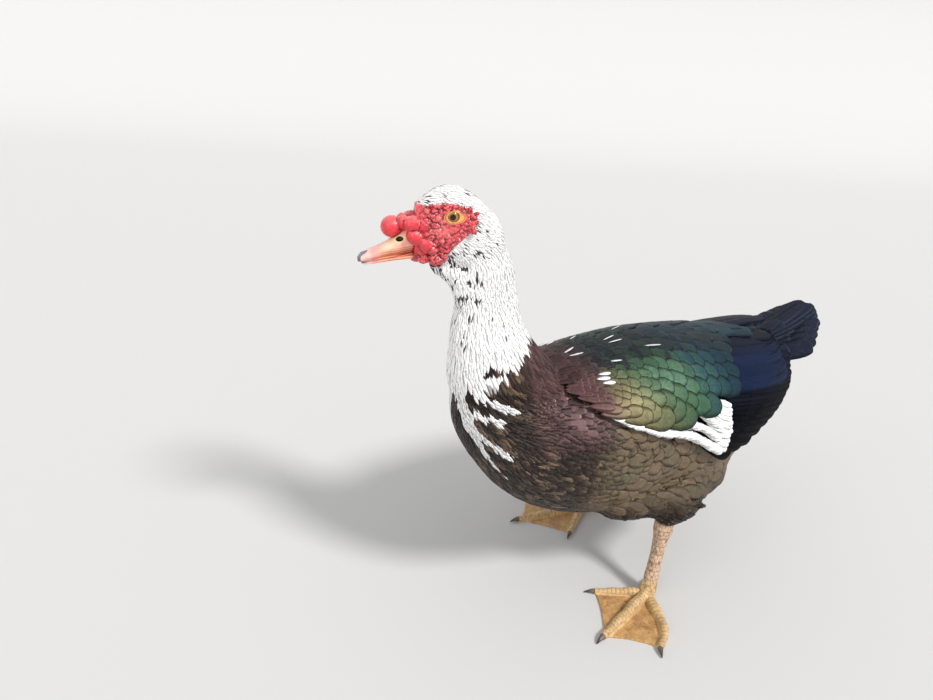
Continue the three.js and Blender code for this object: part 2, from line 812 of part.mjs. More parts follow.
function foot() {

	const hind = limb( [ 0, 0.4, 0.75, 1 ].map( ( share ) => ( {
		at: toePoint( hindToe, share, THREE.MathUtils.lerp( 13, 7, share ) ),
		radius: hindToe.radius * THREE.MathUtils.lerp( 1, 0.6, share ),
	} ) ) );
	const heel = limb( [
		{ at: v3( 3, 0, 4 ), radius: 7 },
		{ at: v3( 0, 0, 9 ), radius: 9 },
		{ at: v3( -4, -1, 16 ), radius: 8.4 },
		{ at: v3( -8, -2.5, 24 ), radius: 8 },
	] );
	const pieces = [
		...Object.values( toes ).map( toe ), hind, heel,
		web( toes.inner, toes.middle ), web( toes.middle, toes.outer ),
	];
	const flat = joined( pieces ).trimByPlane( [ 0, 0, 1 ], 0 );
	return trimmed( flat, v3( 0, 0, -1 ), v3( 0, 0, shankFoot ) );

}

function hindClaw() {

	const reach = ( share ) => hindToe.length + 2 * gap + 9 * share;
	return limb( [ 0, 0.5, 1 ].map( ( share ) => ( {
		at: v3(
			Math.cos( hindToe.angle ) * reach( share ), Math.sin( hindToe.angle ) * reach( share ),
			THREE.MathUtils.lerp( 7, 2.5, share ),
		),
		radius: THREE.MathUtils.lerp( 2, 0.5, share ),
	} ) ), 6 );

}

const legPlace = ( leg ) => new THREE.Matrix4().makeRotationZ( leg.yaw ).setPosition( leg.base );

function shank( leg ) {

	const heelTop = v3( -6, -1.8 * leg.side, 20 ).applyMatrix4( legPlace( leg ) );
	const at = ( share ) => heelTop.clone().lerp( leg.ankle, share );
	const whole = limb( [
		{ at: at( -0.2 ), radius: 8 },
		{ at: at( 0 ), radius: 8 },
		{ at: at( 0.2 ), radius: 7.2 },
		{ at: at( 0.5 ), radius: 7 },
		{ at: at( 0.75 ), radius: 8 },
		{ at: at( 0.92 ), radius: 10.3 },
		{ at: at( 1.02 ), radius: 10.5 },
		{ at: at( 1.15 ), radius: 9.5 },
	], 12 );
	return trimmed( trimmed( whole, v3( 0, 0, 1 ), v3( 0, 0, shankFoot ) ), v3( 0, 0, -1 ), ankleCut );

}

const ankleCut = v3( 0, 0, 82 );
const flankRadii = [ 62, 33, 34 ];

// Feathers hide the leg above the ankle and swell into the flank
function thigh( leg ) {

	const above = ( x, z ) => leg.ankle.clone().add( v3( x, 0, z ) );
	const lower = limb( [
		{ at: above( 0, 0 ), radius: 12.5 },
		{ at: above( 1, 8 ), radius: 16 },
		{ at: above( 5, 22 ), radius: 26 },
		{ at: above( 10, 40 ), radius: 33 },
	], 16 );
	const whole = joined( [ lower, ball( leg.flank.toArray(), flankRadii ) ] );
	return trimmed( whole, v3( 0, 0, 1 ), ankleCut ).subtract( torsoGrown );

}

// Finishes
const looks = {
	dark: { color: 0x2b2422, roughness: 0.6 },
	white: { color: 0xe9e6e0, roughness: 0.75 },
	green: { color: 0x1d4a37, roughness: 0.4, metalness: 0.2 },
	navy: { color: 0x141f2a, roughness: 0.42, metalness: 0.15 },
	caruncle: { color: 0xc62028, roughness: 0.32 },
	bill: { color: 0xe2918a, roughness: 0.38 },
	nail: { color: 0x2c2f45, roughness: 0.35 },
	eye: { color: 0xb08a2c, roughness: 0.08 },
	scaled: { color: 0xb9853f, roughness: 0.6 },
	claw: { color: 0x3a3430, roughness: 0.45 },
};

function piece( name, solid, look ) {

	const finish = new THREE.MeshStandardMaterial( looks[ look ] );
	const mesh = new THREE.Mesh( toGeometry( largest( solid ) ), finish );
	mesh.name = name;
	return mesh;

}

// Assembly
const drake = new THREE.Group();
drake.position.set( ...centreShift, 0 );
drake.add( piece( 'torso', torso, 'dark' ) );
drake.add( piece( 'neck_lower', neckLower, 'white' ) );
drake.add( piece( 'neck_upper', neckUpper, 'white' ) );
drake.add( piece( 'wing_left', wing( 1 ), 'green' ) );
drake.add( piece( 'wing_right', wing( -1 ), 'green' ) );
drake.add( piece( 'tail', tail, 'navy' ) );

const headGroup = new THREE.Group();
headPlace.decompose( headGroup.position, headGroup.quaternion, headGroup.scale );
headGroup.add( piece( 'head', head, 'white' ) );
headGroup.add( piece( 'face', face, 'caruncle' ) );
headGroup.add( piece( 'bill_upper', billUpper, 'bill' ) );
headGroup.add( piece( 'bill_nail', billNail, 'nail' ) );
headGroup.add( piece( 'bill_lower', billLower, 'bill' ) );
headGroup.add( piece( 'eye_left', eyeAt( 1, eyeRadius ), 'eye' ) );
headGroup.add( piece( 'eye_right', eyeAt( -1, eyeRadius ), 'eye' ) );
drake.add( headGroup );

for ( const [ name, leg ] of Object.entries( legs ) ) {

	const sided = ( solid ) => leg.side > 0 ? solid : mirrored( solid );
	drake.add( piece( `thigh_${name}`, thigh( leg ), 'dark' ) );
	drake.add( piece( `shank_${name}`, shank( leg ), 'scaled' ) );
	const footGroup = new THREE.Group();
	footGroup.position.copy( leg.base );
	footGroup.rotation.z = leg.yaw;
	footGroup.add( piece( `foot_${name}`, sided( foot() ), 'scaled' ) );
	for ( const [ toeName, toeSizes ] of Object.entries( toes ) ) {

		footGroup.add( piece( `claw_${toeName}_${name}`, sided( claw( toeSizes ) ), 'claw' ) );

	}

	footGroup.add( piece( `claw_hind_${name}`, sided( hindClaw() ), 'claw' ) );
	drake.add( footGroup );

}

export default drake;
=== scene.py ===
import math

import bmesh
import bpy
import numpy as np
from mathutils import Matrix, Vector, noise
from mathutils.bvhtree import BVHTree
from mathutils.kdtree import KDTree


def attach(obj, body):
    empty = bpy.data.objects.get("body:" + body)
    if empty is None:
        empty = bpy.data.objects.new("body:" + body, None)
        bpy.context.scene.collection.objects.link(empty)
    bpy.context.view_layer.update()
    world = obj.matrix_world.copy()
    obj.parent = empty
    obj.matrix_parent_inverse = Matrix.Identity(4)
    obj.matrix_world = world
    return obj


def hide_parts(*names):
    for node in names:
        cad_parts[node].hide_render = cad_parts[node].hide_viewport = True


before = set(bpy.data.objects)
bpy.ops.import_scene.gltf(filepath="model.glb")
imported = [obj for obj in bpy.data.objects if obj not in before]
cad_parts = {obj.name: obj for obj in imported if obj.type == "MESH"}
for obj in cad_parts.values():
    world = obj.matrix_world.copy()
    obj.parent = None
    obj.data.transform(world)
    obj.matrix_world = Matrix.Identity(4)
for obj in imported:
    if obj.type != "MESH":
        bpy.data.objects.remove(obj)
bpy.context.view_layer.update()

# A muscovy drake in full feather. Sizes are millimetres in the bird's own frame, where it looks
# along -X, its left side is -Y, and it stands on Z = 0. toRow brings them to the model's metres.
bird = {
    "shift": (-24, 7, 0),
    "headTurn": 21,
    "headDip": 12,
    "headScale": 0.965,
    "headAt": (-195.6, 20.7, 418),
    "eyeSpread": 16.6,
    "eyeRadius": 7,
}


def toRow(points):
    return (np.asarray(points, float) + np.array(bird["shift"])) * 0.001


def toBird(points):
    return np.asarray(points, float) * 1000 - np.array(bird["shift"])


def headAxes():
    turn = math.radians(bird["headTurn"])
    dip = math.radians(bird["headDip"])
    ahead = (-math.cos(turn) * math.cos(dip), math.sin(turn) * math.cos(dip), -math.sin(dip))
    left = (-math.sin(turn), -math.cos(turn), 0.0)
    return np.array([ahead, left, np.cross(ahead, left)])


headBasis = headAxes()
headForward, headLeft, headUp = headBasis


def fromHead(points):
    return np.asarray(points, float) @ headBasis * bird["headScale"] + np.array(bird["headAt"])


def toHead(points):
    return (np.asarray(points, float) - np.array(bird["headAt"])) @ headBasis.T / bird["headScale"]


def ramp(x, low, high):
    # from 0 at low to 1 at high, without a kink
    t = np.clip((np.asarray(x, float) - low) / (high - low), 0, 1)
    return t * t * (3 - 2 * t)


def mix(a, b, share):
    # blends rows of a with b by one share for each row; a tone goes by its name
    share = np.asarray(share, float).reshape(-1, 1)
    a, b = (tones[value] if isinstance(value, str) else np.asarray(value, float) for value in (a, b))
    return a * (1 - share) + b * share


def unit(v):
    return v / np.maximum(np.linalg.norm(v, axis=-1, keepdims=True), 1e-9)


def paint(red, green, blue):
    # screen colour 0 to 255 to linear light
    c = np.array([red, green, blue], float) / 255
    return np.where(c <= 0.04045, c / 12.92, ((c + 0.055) / 1.055) ** 2.4)


def grain(points, size, seed):
    # smooth random value from about -1 to 1 for each point
    offset = Vector((seed * 17.3, seed * 5.1, seed * 9.7))
    return np.array([noise.noise(Vector(p) / size + offset) for p in points.tolist()])


def nearSegment(points, a, b):
    # distance from each point to the segment
    a, b = np.array(a, float), np.array(b, float)
    t = np.clip(((points - a) @ (b - a)) / ((b - a) @ (b - a)), 0, 1)
    return np.linalg.norm(points - a - t[:, None] * (b - a), axis=1)


def atPoint(point):
    # the move to a point of the bird's frame
    return Matrix.Translation(Vector(toRow(point)))


def headSpot(*point):
    # a point of the head's frame, in the model's metres
    return Vector(toRow(fromHead([point]))[0])


def pathReach(corners):
    # how far along the path each corner lies
    return np.concatenate([[0], np.cumsum(np.linalg.norm(np.diff(corners, axis=0), axis=1))])


def linked(name, data):
    thing = bpy.data.objects.new(name, data)
    bpy.context.scene.collection.objects.link(thing)
    return thing


# Camera, at the photograph's place in the bird's frame, and the width that its focal length belongs to
view = {
    "at": (-490.9, -499.4, 529), "turn": -31.6, "pitch": 21.7, "roll": 3.4, "focal": 690, "width": 933,
    "sensor": 36, "nearest": 0.05,
}


def makeCamera():
    turn, pitch, roll = (math.radians(view[k]) for k in ("turn", "pitch", "roll"))
    ahead = Vector((-math.sin(turn) * math.cos(pitch), math.cos(turn) * math.cos(pitch), -math.sin(pitch)))
    right = ahead.cross(Vector((0, 0, 1))).normalized()
    up = right.cross(ahead)
    tilted = right * math.cos(roll) + up * math.sin(roll)
    upward = up * math.cos(roll) - right * math.sin(roll)
    data = bpy.data.cameras.new("camera")
    data.sensor_width = view["sensor"]
    data.lens = view["focal"] / view["width"] * data.sensor_width
    data.clip_start = view["nearest"]
    camera = linked("camera", data)
    camera.matrix_world = atPoint(view["at"]) @ Matrix((tilted, upward, -ahead)).transposed().to_4x4()
    bpy.context.scene.camera = camera


makeCamera()

# A wide soft key high on the bird's left and behind it, a weak fill in front, and a pale surround
lights = {
    "key": {"from": (0.3, -0.75, 0.8), "strength": 2.6, "spread": 12},
    "fill": {"from": (-0.9, -0.35, 0.45), "strength": 0.75, "spread": 60},
}
surround = {"colour": (0.94, 0.96, 1.0), "strength": 0.7}


def makeLights():
    for name, facts in lights.items():
        data = bpy.data.lights.new(name, "SUN")
        data.energy = facts["strength"]
        data.angle = math.radians(facts["spread"])
        way = -Vector(facts["from"])
        linked(name, data).matrix_world = way.to_track_quat("-Z", "Y").to_matrix().to_4x4()
    world = bpy.data.worlds.new("studio")
    world.use_nodes = True
    sky = world.node_tree.nodes["Background"]
    sky.inputs["Color"].default_value = (*surround["colour"], 1)
    sky.inputs["Strength"].default_value = surround["strength"]
    bpy.context.scene.world = world
    bpy.context.scene.view_settings.view_transform = "Standard"


makeLights()


# Node helpers. A graph is a material's node tree; a value is a number, a colour or another node's output
def setSockets(graph, node, values):
    for key, value in values.items():
        if isinstance(value, bpy.types.NodeSocket):
            graph.links.new(value, node.inputs[key])
        elif isinstance(value, np.ndarray):
            node.inputs[key].default_value = (*value.tolist(), 1)
        else:
            node.inputs[key].default_value = value


def addNode(graph, kind, values=(), **settings):
    # the new node's outputs
    node = graph.nodes.new(f"ShaderNode{kind}")
    for key, value in settings.items():
        setattr(node, key, value)
    setSockets(graph, node, dict(values))
    return node.outputs


def newMaterial(name):
    material = bpy.data.materials.new(name)
    material.use_nodes = True
    return material, material.node_tree, material.node_tree.nodes["Principled BSDF"]


def mathNode(graph, operation, *values):
    return addNode(graph, "Math", enumerate(values), operation=operation)[0]


def rangeNode(graph, value, low, high, toLow=0.0, toHigh=1.0):
    ends = {"Value": value, "From Min": low, "From Max": high, "To Min": toLow, "To Max": toHigh}
    return addNode(graph, "MapRange", ends, interpolation_type="SMOOTHSTEP")[0]


def mixNode(graph, share, a, b):
    return addNode(graph, "Mix", {0: share, 6: a, 7: b}, data_type="RGBA")[2]


def scaledNode(graph, colour, factor):
    return addNode(graph, "VectorMath", {0: colour, "Scale": factor}, operation="SCALE")[0]


def noiseNode(graph, scale, detail, vector=None):
    if vector is None:
        vector = addNode(graph, "TexCoord")["Object"]
    return addNode(graph, "TexNoise", {"Scale": scale, "Detail": detail, "Vector": vector})["Fac"]


def bumpNode(graph, height, strength, distance):
    return addNode(graph, "Bump", {"Height": height, "Strength": strength, "Distance": distance})["Normal"]


def attributeNode(graph, name):
    return addNode(graph, "Attribute", attribute_name=name)


# Feathers take their colours from attributes; barbs slant from the shaft towards the tip. Widths are in
# millimetres, the relief in metres, and drift sets how far the streaks of two feathers differ
barbs = {"pitch": 0.9, "streakLength": 9.0, "shaftWidth": 0.35, "drift": 50.0, "relief": 0.0005}


def plumageMaterial(name, look):
    roughness, specular, streaks, shaftShade = look
    material, graph, shader = newMaterial(name)
    uv = addNode(graph, "SeparateXYZ", {0: addNode(graph, "UVMap", uv_map="vane")["UV"]})
    across = mathNode(graph, "ABSOLUTE", uv["X"])
    barb = mathNode(graph, "SUBTRACT", uv["Y"], across)
    run = mathNode(graph, "ADD", uv["Y"], across)
    rim = attributeNode(graph, "rim")
    facts = attributeNode(graph, "facts")["Vector"]
    edge, gloss, chance = addNode(graph, "SeparateXYZ", {0: facts})
    place = addNode(graph, "CombineXYZ", {
        0: mathNode(graph, "DIVIDE", barb, barbs["pitch"]),
        1: mathNode(graph, "DIVIDE", run, barbs["streakLength"]),
        2: mathNode(graph, "MULTIPLY", chance, barbs["drift"]),
    })[0]
    streak = noiseNode(graph, 1.0, 2.0, place)
    shade = rangeNode(graph, streak, 0.3, 0.7, 1 - streaks, 1 + streaks * 0.6)
    rimmed = mathNode(graph, "MULTIPLY", rangeNode(graph, edge, 0.45, 1.0, 1.0, 0.0), rim["Alpha"])
    coloured = mixNode(graph, rimmed, attributeNode(graph, "tint")["Color"], rim["Color"])
    shaft = rangeNode(graph, across, 0.0, barbs["shaftWidth"], shaftShade, 1.0)
    setSockets(graph, shader, {
        "Base Color": scaledNode(graph, scaledNode(graph, coloured, shade), shaft),
        "Metallic": mathNode(graph, "MULTIPLY", gloss, 0.8),
        "Roughness": rangeNode(graph, streak, 0.2, 0.8, roughness - 0.08, roughness + 0.1),
        "Specular IOR Level": specular,
        "Normal": bumpNode(graph, streak, 0.3, barbs["relief"]),
    })
    return material


def surfaceMaterial(name, look):
    # skin, horn and scales: a tint attribute with broad variation, fine grain and a bump
    grainScale, patchScale, patchShare, grainShare, roughness, bump, coat, translucence = look
    material, graph, shader = newMaterial(name)
    fine = noiseNode(graph, grainScale, 4.0)
    broad = noiseNode(graph, patchScale, 3.0)
    shade = rangeNode(graph, broad, 0.3, 0.7, 1 - patchShare, 1 + patchShare * 0.7)
    mottle = rangeNode(graph, fine, 0.3, 0.7, 1 - grainShare, 1.0)
    shaded = scaledNode(graph, attributeNode(graph, "tint")["Color"], shade)
    setSockets(graph, shader, {
        "Base Color": scaledNode(graph, shaded, mottle),
        "Roughness": rangeNode(graph, fine, 0.3, 0.7, roughness - 0.06, roughness + 0.1),
        "Coat Weight": coat, "Coat Roughness": 0.16, "Subsurface Weight": translucence,
        "Subsurface Radius": (0.003, 0.0008, 0.0006), "Subsurface Scale": 1.0,
        "Normal": bumpNode(graph, fine, 0.5, bump),
    })
    return material


plumageLooks = {                      # roughness, specular, strength of the streaks, shade of the shaft
    "whitePlumage": (0.7, 0.2, 0.08, 0.97),
    "darkPlumage": (0.52, 0.3, 0.42, 0.75),
    "wingPlumage": (0.42, 0.02, 0.3, 0.72),
}
surfaceLooks = {   # grain and patch scale, patch and grain share, roughness, bump, coat, translucence
    "bodySkin": (420, 60, 0.15, 0.3, 0.75, 0.0006, 0.0, 0.0),
    "caruncleSkin": (1500, 130, 0.16, 0.12, 0.33, 0.00025, 0.45, 0.12),
    "billHorn": (900, 120, 0.1, 0.1, 0.36, 0.00015, 0.25, 0.08),
    "nailHorn": (700, 300, 0.25, 0.15, 0.32, 0.00015, 0.3, 0.0),
    "scaledSkin": (1100, 150, 0.16, 0.25, 0.5, 0.0003, 0.06, 0.0),
    "clawHorn": (800, 300, 0.25, 0.2, 0.42, 0.0002, 0.1, 0.0),
}
looks = {name: plumageMaterial(name, look) for name, look in plumageLooks.items()}
looks.update((name, surfaceMaterial(name, look)) for name, look in surfaceLooks.items())


# Mesh helpers
def meshOf(name, bm):
    mesh = bpy.data.meshes.new(name)
    bm.to_mesh(mesh)
    bm.free()
    return mesh


def mergedCopy(*names):
    bm = bmesh.new()
    for name in names:
        bm.from_mesh(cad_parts[name].data)
    bmesh.ops.remove_doubles(bm, verts=bm.verts, dist=1e-5)
    bmesh.ops.recalc_face_normals(bm, faces=bm.faces)
    return bm


def remeshed(name, bm, voxel, smoothing):
    # one closed surface round all that the bmesh holds
    thing = linked(name, meshOf(name, bm))
    remesh = thing.modifiers.new("remesh", "REMESH")
    remesh.mode = "VOXEL"
    remesh.voxel_size = voxel * 0.001
    remesh.use_smooth_shade = True
    smooth = thing.modifiers.new("smooth", "SMOOTH")
    smooth.iterations = smoothing
    smooth.factor = 0.5
    graph = bpy.context.evaluated_depsgraph_get()
    made = bpy.data.meshes.new_from_object(thing.evaluated_get(graph))
    thing.modifiers.clear()
    thing.data = made
    made.materials.clear()
    return thing


def readAll(items, key, width, kind=np.float32):
    flat = np.zeros(len(items) * width, kind)
    items.foreach_get(key, flat)
    return flat.reshape(-1, width)


def pointsOf(thing):
    return toBird(readAll(thing.data.vertices, "co", 3))


def normalsOf(thing):
    return readAll(thing.data.vertex_normals, "vector", 3).astype(float)


def setPoints(thing, points):
    thing.data.vertices.foreach_set("co", toRow(points).astype(np.float32).ravel())
    thing.data.update()


def setColours(mesh, name, colours):
    if colours.shape[1] == 3:
        colours = np.concatenate([colours, np.ones((len(colours), 1))], 1)
    layer = mesh.attributes.new(name, "FLOAT_COLOR", "POINT")
    layer.data.foreach_set("color", colours.astype(np.float32).ravel())


def setUv(mesh, name, uv):
    # uv holds one row for each vertex
    corner = readAll(mesh.loops, "vertex_index", 1, np.int32)[:, 0]
    mesh.uv_layers.new(name=name).data.foreach_set("uv", uv[corner].astype(np.float32).ravel())


def hollows(thing, rounds):
    # above 0 in creases, below 0 on ridges, in shares of the mesh's own edge length
    points, normals = pointsOf(thing), normalsOf(thing)
    ends = readAll(thing.data.edges, "vertices", 2, np.int32)
    a, b = ends.T
    count = np.bincount(ends.ravel(), minlength=len(points))[:, None]

    def neighbourMean(values):
        total = np.zeros_like(values)
        np.add.at(total, a, values[b])
        np.add.at(total, b, values[a])
        return total / np.maximum(count, 1)

    step = np.linalg.norm(points[a] - points[b], axis=1).mean()
    bend = ((neighbourMean(points) - points) * normals).sum(1, keepdims=True) / step
    for _ in range(rounds):
        bend = (bend + neighbourMean(bend)) / 2
    return bend[:, 0]


def treeOf(points):
    tree = KDTree(len(points))
    for i, p in enumerate(points.tolist()):
        tree.insert(p, i)
    tree.balance()
    return tree


def thinned(points, order, gaps, alive):
    # indices, in this order, of the points that keep their gaps to those chosen before
    tree = treeOf(points)
    chosen = []
    for i in order:
        if alive[i]:
            chosen.append(i)
            for _, j, _ in tree.find_range(points[i].tolist(), gaps[i]):
                alive[j] = False
    return chosen


def finished(thing, look, slot, *nodes):
    thing.data.materials.clear()
    thing.data.materials.append(looks[look])
    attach(thing, "root")
    if nodes:
        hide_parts(*nodes)
    print(thing.name, len(thing.data.polygons) * 2)


# Body and wing stations, as in the solids: X, top, widest level, bottom, half width
wingRows = [
    (-197, 247, 239, 229, 8), (-188, 259, 235, 203, 30), (-170, 266, 224, 171, 55),
    (-145, 268, 213, 142, 73), (-110, 268, 204, 115, 87), (-70, 272, 198, 96, 95),
    (-20, 279, 193, 85, 99), (35, 283, 190, 83, 100), (85, 281, 185, 83, 102),
    (130, 277, 190, 90, 99), (170, 273, 193, 106, 92), (210, 269, 198, 126, 81), (250, 264, 204, 146, 70),
]
hullPower = 2.1


def hullTrack():
    # the rows on an even grid, through a smooth curve
    rows = np.array(wingRows, float)
    grid = np.arange(rows[0, 0], rows[-1, 0] + 1)
    slopes = np.gradient(rows, rows[:, 0], axis=0)
    i = np.clip(np.searchsorted(rows[:, 0], grid, side="right") - 1, 0, len(rows) - 2)
    span = (rows[i + 1, 0] - rows[i, 0])[:, None]
    p = ((grid - rows[i, 0]) / span[:, 0])[:, None]
    fromStart = (2 * p**3 - 3 * p**2 + 1) * rows[i] + (p**3 - 2 * p**2 + p) * span * slopes[i]
    fromEnd = (3 * p**2 - 2 * p**3) * rows[i + 1] + (p**3 - p**2) * span * slopes[i + 1]
    return grid, fromStart + fromEnd


trackGrid, trackRows = hullTrack()


def hullRow(x):
    return [np.interp(x, trackGrid, trackRows[:, k]) for k in (1, 2, 3, 4)]


def hullPoint(x, degrees, depth, side):
    # on the folded wing's outer surface: X, degrees above the widest level, depth under it; side 1 is left
    top, widest, bottom, half = hullRow(x)
    turn = np.radians(degrees)
    across = np.sign(np.cos(turn)) * np.abs(np.cos(turn)) ** (2 / hullPower)
    up = np.sign(np.sin(turn)) * np.abs(np.sin(turn)) ** (2 / hullPower)
    reach = np.where(up > 0, top - widest, widest - bottom)
    return np.stack([x + 0 * across, -side * across * (half - depth), widest + up * (reach - depth)], -1)


def hullDegrees(points):
    # the turn about the wing's axis that hullPoint would take to reach each point
    top, widest, bottom, half = hullRow(points[:, 0])
    rise = points[:, 2] - widest
    reach = np.where(rise > 0, top - widest, widest - bottom)
    across = np.clip(np.abs(points[:, 1]) / half, 1e-6, None) ** (hullPower / 2)
    up = np.sign(rise) * (np.abs(rise) / reach) ** (hullPower / 2)
    return np.degrees(np.arctan2(up, across))


# Colours, as seen on screen
tones = {name: paint(*colour) for name, colour in {
    "white": (246, 245, 243), "dash": (66, 60, 62), "breast": (42, 32, 28), "breastRim": (150, 124, 100),
    "shoulder": (94, 68, 68), "shoulderRim": (176, 138, 128), "flank": (116, 98, 76),
    "flankRim": (44, 34, 28), "belly": (40, 30, 27), "bellyRim": (140, 120, 106), "back": (46, 50, 52),
    "backRim": (98, 104, 104), "bronze": (134, 126, 92), "green": (68, 98, 74), "mintHighlight": (100, 132, 110),
    "teal": (44, 72, 80), "deepTeal": (36, 56, 66), "blue": (24, 36, 62), "slate": (24, 28, 42),
    "navy": (6, 7, 14), "rimDark": (24, 28, 28), "tail": (44, 48, 62), "tailSheen": (104, 118, 122),
    "underWing": (26, 22, 22), "face": (226, 50, 62), "faceShade": (92, 6, 18), "facePale": (250, 150, 146),
    "lid": (228, 168, 92), "bill": (244, 172, 158), "billCream": (244, 214, 176), "billLow": (224, 128, 108),
    "billBar": (206, 84, 66), "billPale": (244, 186, 128), "mouth": (164, 44, 40),
    "nostrilRim": (240, 204, 148), "nostril": (34, 16, 14), "billTip": (246, 226, 218),
    "nailRoot": (120, 112, 128), "nailEnd": (28, 28, 52), "clawRoot": (112, 98, 88), "clawEnd": (44, 38, 36),
    "web": (208, 162, 104), "toe": (226, 192, 138), "shank": (212, 178, 148), "mottle": (142, 92, 58),
    "speck": (74, 54, 42), "scaleEdge": (92, 62, 40), "iris": (176, 120, 44), "irisRim": (84, 48, 18),
    "irisRay": (120, 76, 28), "pupil": (8, 6, 5),
}.items()}


def layered(rows, *layers):
    # lays one tone after another over the rows, each by its share at every point
    for tone, share in layers:
        rows = mix(rows, tone, share)
    return rows


maskOutline = [
    (80, 8), (40, 13), (28, 12.5), (13.8, 12), (0, 10.5), (-10.5, 6.5), (-17.5, 0), (-20.5, -8),
    (-13, -15), (0.5, -22.6), (9, -31), (13.5, -40), (19, -45), (29, -43.5), (80, -43.5),
]


def maskDistance(local):
    # how far each head point lies outside the bare face's outline, in its side view; negative inside
    outline = np.array(maskOutline, float)
    p = local[:, [0, 2]]
    inside = np.zeros(len(p), bool)
    nearest = np.full(len(p), 1e9)
    for a, b in zip(outline, np.roll(outline, -1, 0)):
        nearest = np.minimum(nearest, nearSegment(p, a, b))
        crosses = (a[1] > p[:, 1]) != (b[1] > p[:, 1])
        level = a[0] + (b[0] - a[0]) * (p[:, 1] - a[1]) / (b[1] - a[1] if b[1] != a[1] else 1e-9)
        inside ^= crosses & (p[:, 0] < level)
    return np.where(inside, -nearest, nearest)


# The white of the neck ends in a slanting edge, with stripes and a strip down the chest below it, and
# dark bars across it; sides are measured from a middle line a little to the right
whiteFacts = {
    "edgeAt": -126, "edgeHeight": 299, "edgeSlope": 0.62, "edgeBack": -88, "raggedness": 5, "middle": 3,
    "stripHeight": 256, "stripFrom": 9, "stripSpread": 0.42, "stripHalf": 9.5, "stripTaper": 0.1,
    "stripRun": (-14, 92), "stripBack": -128,
    "stripes": (
        ((-186, 30, 260), (-158, 53, 250), 3.6), ((-187, 27, 241), (-170, 49, 238), 3.4),
        ((-186, 30, 220), (-164, 56, 205), 4.4), ((-176, 40, 200), (-160, 55, 190), 2.0),
    ),
    "bars": (((-178, 30, 281), (-160, 41, 284), 2.6), ((-192, 12, 268), (-176, 33, 262), 2.4)),
}


def whiteShare(points):
    # 1 where the plumage is white
    f = whiteFacts
    x, _, z = points.T
    ragged = f["raggedness"] * grain(points, 7, 1)
    sided = points.copy()
    sided[:, 1] = np.abs(points[:, 1] - f["middle"])
    above = z - (f["edgeHeight"] + f["edgeSlope"] * (x - f["edgeAt"])) + ragged
    share = ramp(above, -1, 1) * (x < f["edgeBack"])
    for a, b, radius in f["bars"]:
        share = np.where(nearSegment(sided, a, b) - radius + 0.3 * ragged < 0, 0, share)
    drop = f["stripHeight"] - z
    half = f["stripHalf"] - f["stripTaper"] * drop
    strip = np.abs(sided[:, 1] - (f["stripFrom"] + f["stripSpread"] * drop)) - half + 0.5 * ragged
    top, bottom = f["stripRun"]
    share = np.where((drop > top) & (drop < bottom) & (x < f["stripBack"]) & (strip < 0), 1, share)
    for a, b, radius in f["stripes"]:
        share = np.where(nearSegment(sided, a, b) - radius + 0.35 * ragged < 0, 1, share)
    return share


def bodyColours(points, normals, chance):
    # tint, rim, rim strength and gloss for feathers of the head, neck and body
    x, _, z = points.T
    white = whiteShare(points)
    flank = ramp(x, -88, -48) * ramp(z, 98, 140)
    shoulder = ramp(x, -152, -128) * (1 - ramp(x, -70, -48)) * ramp(z, 200, 226)
    scalloped = ramp(z, 232, 246)
    top = ramp(normals[:, 2], 0.6, 0.85) * ramp(z, 240, 258)
    rump = ramp(x, 150, 190)
    belly = (1 - ramp(z, 100, 128)) * (1 - flank)
    bars = ramp(grain(points * (0.55, 0.55, 1.4), 6, 5), 0.02, 0.3)
    bars = bars * ramp(grain(points, 40, 15), -0.4, 0.1)
    tint = mix("breast", "breastRim", 0.5 * bars)
    rim = tones["breastRim"]
    strength = 0.1 + 0.45 * bars * (0.5 + 0.5 * chance)
    for share, inner, outer, force in (
        (belly, "belly", "bellyRim", 0.15 + 0.5 * bars), (flank, "flank", "flankRim", 0.75),
        (shoulder, "shoulder", "shoulderRim", 0.1 + 0.65 * scalloped * chance),
        (top, "back", "backRim", 0.35), (rump, "tail", "tailSheen", 0.12),
    ):
        tint = mix(tint, inner, share)
        rim = mix(rim, outer, share)
        strength = strength * (1 - share) + force * share
    greener = ramp(grain(points, 30, 9), 0.0, 0.5) * flank * 0.35
    tint = mix(tint, tones["green"] * 0.7, greener)
    swing = 1 - 0.8 * flank
    tint = tint * (1 + swing * (0.8 * chance ** 1.5 - 0.4) - 0.12 * swing)[:, None]
    tint = mix(tint, "white", white)
    rim = mix(rim, "white", white)
    gloss = (0.1 + 0.2 * shoulder + 0.25 * top + 0.15 * rump) * (1 - white)
    return tint, rim, strength * (1 - white), gloss


def dashed(points, draw):
    # which white feathers carry a dark dash: many on the cheek and throat, few on the neck
    x, _, z = points.T
    ahead, _, up = toHead(points).T
    cheek = ramp(-up, 10, 22) * ramp(ahead, -30, -8) * ramp(z, 335, 350)
    throat = ramp(z, 315, 345) * ramp(-x, 172, 186)
    crown = ramp(ahead, 14, 24) * ramp(up, 12, 16)
    patch = ramp(grain(points, 8, 4), 0.0, 0.3)
    likely = 0.008 + 0.5 * cheek * patch + 0.4 * throat * patch + 0.14 * crown
    likely += 0.05 * patch * (1 - ramp(z, 330, 350))
    return draw < likely


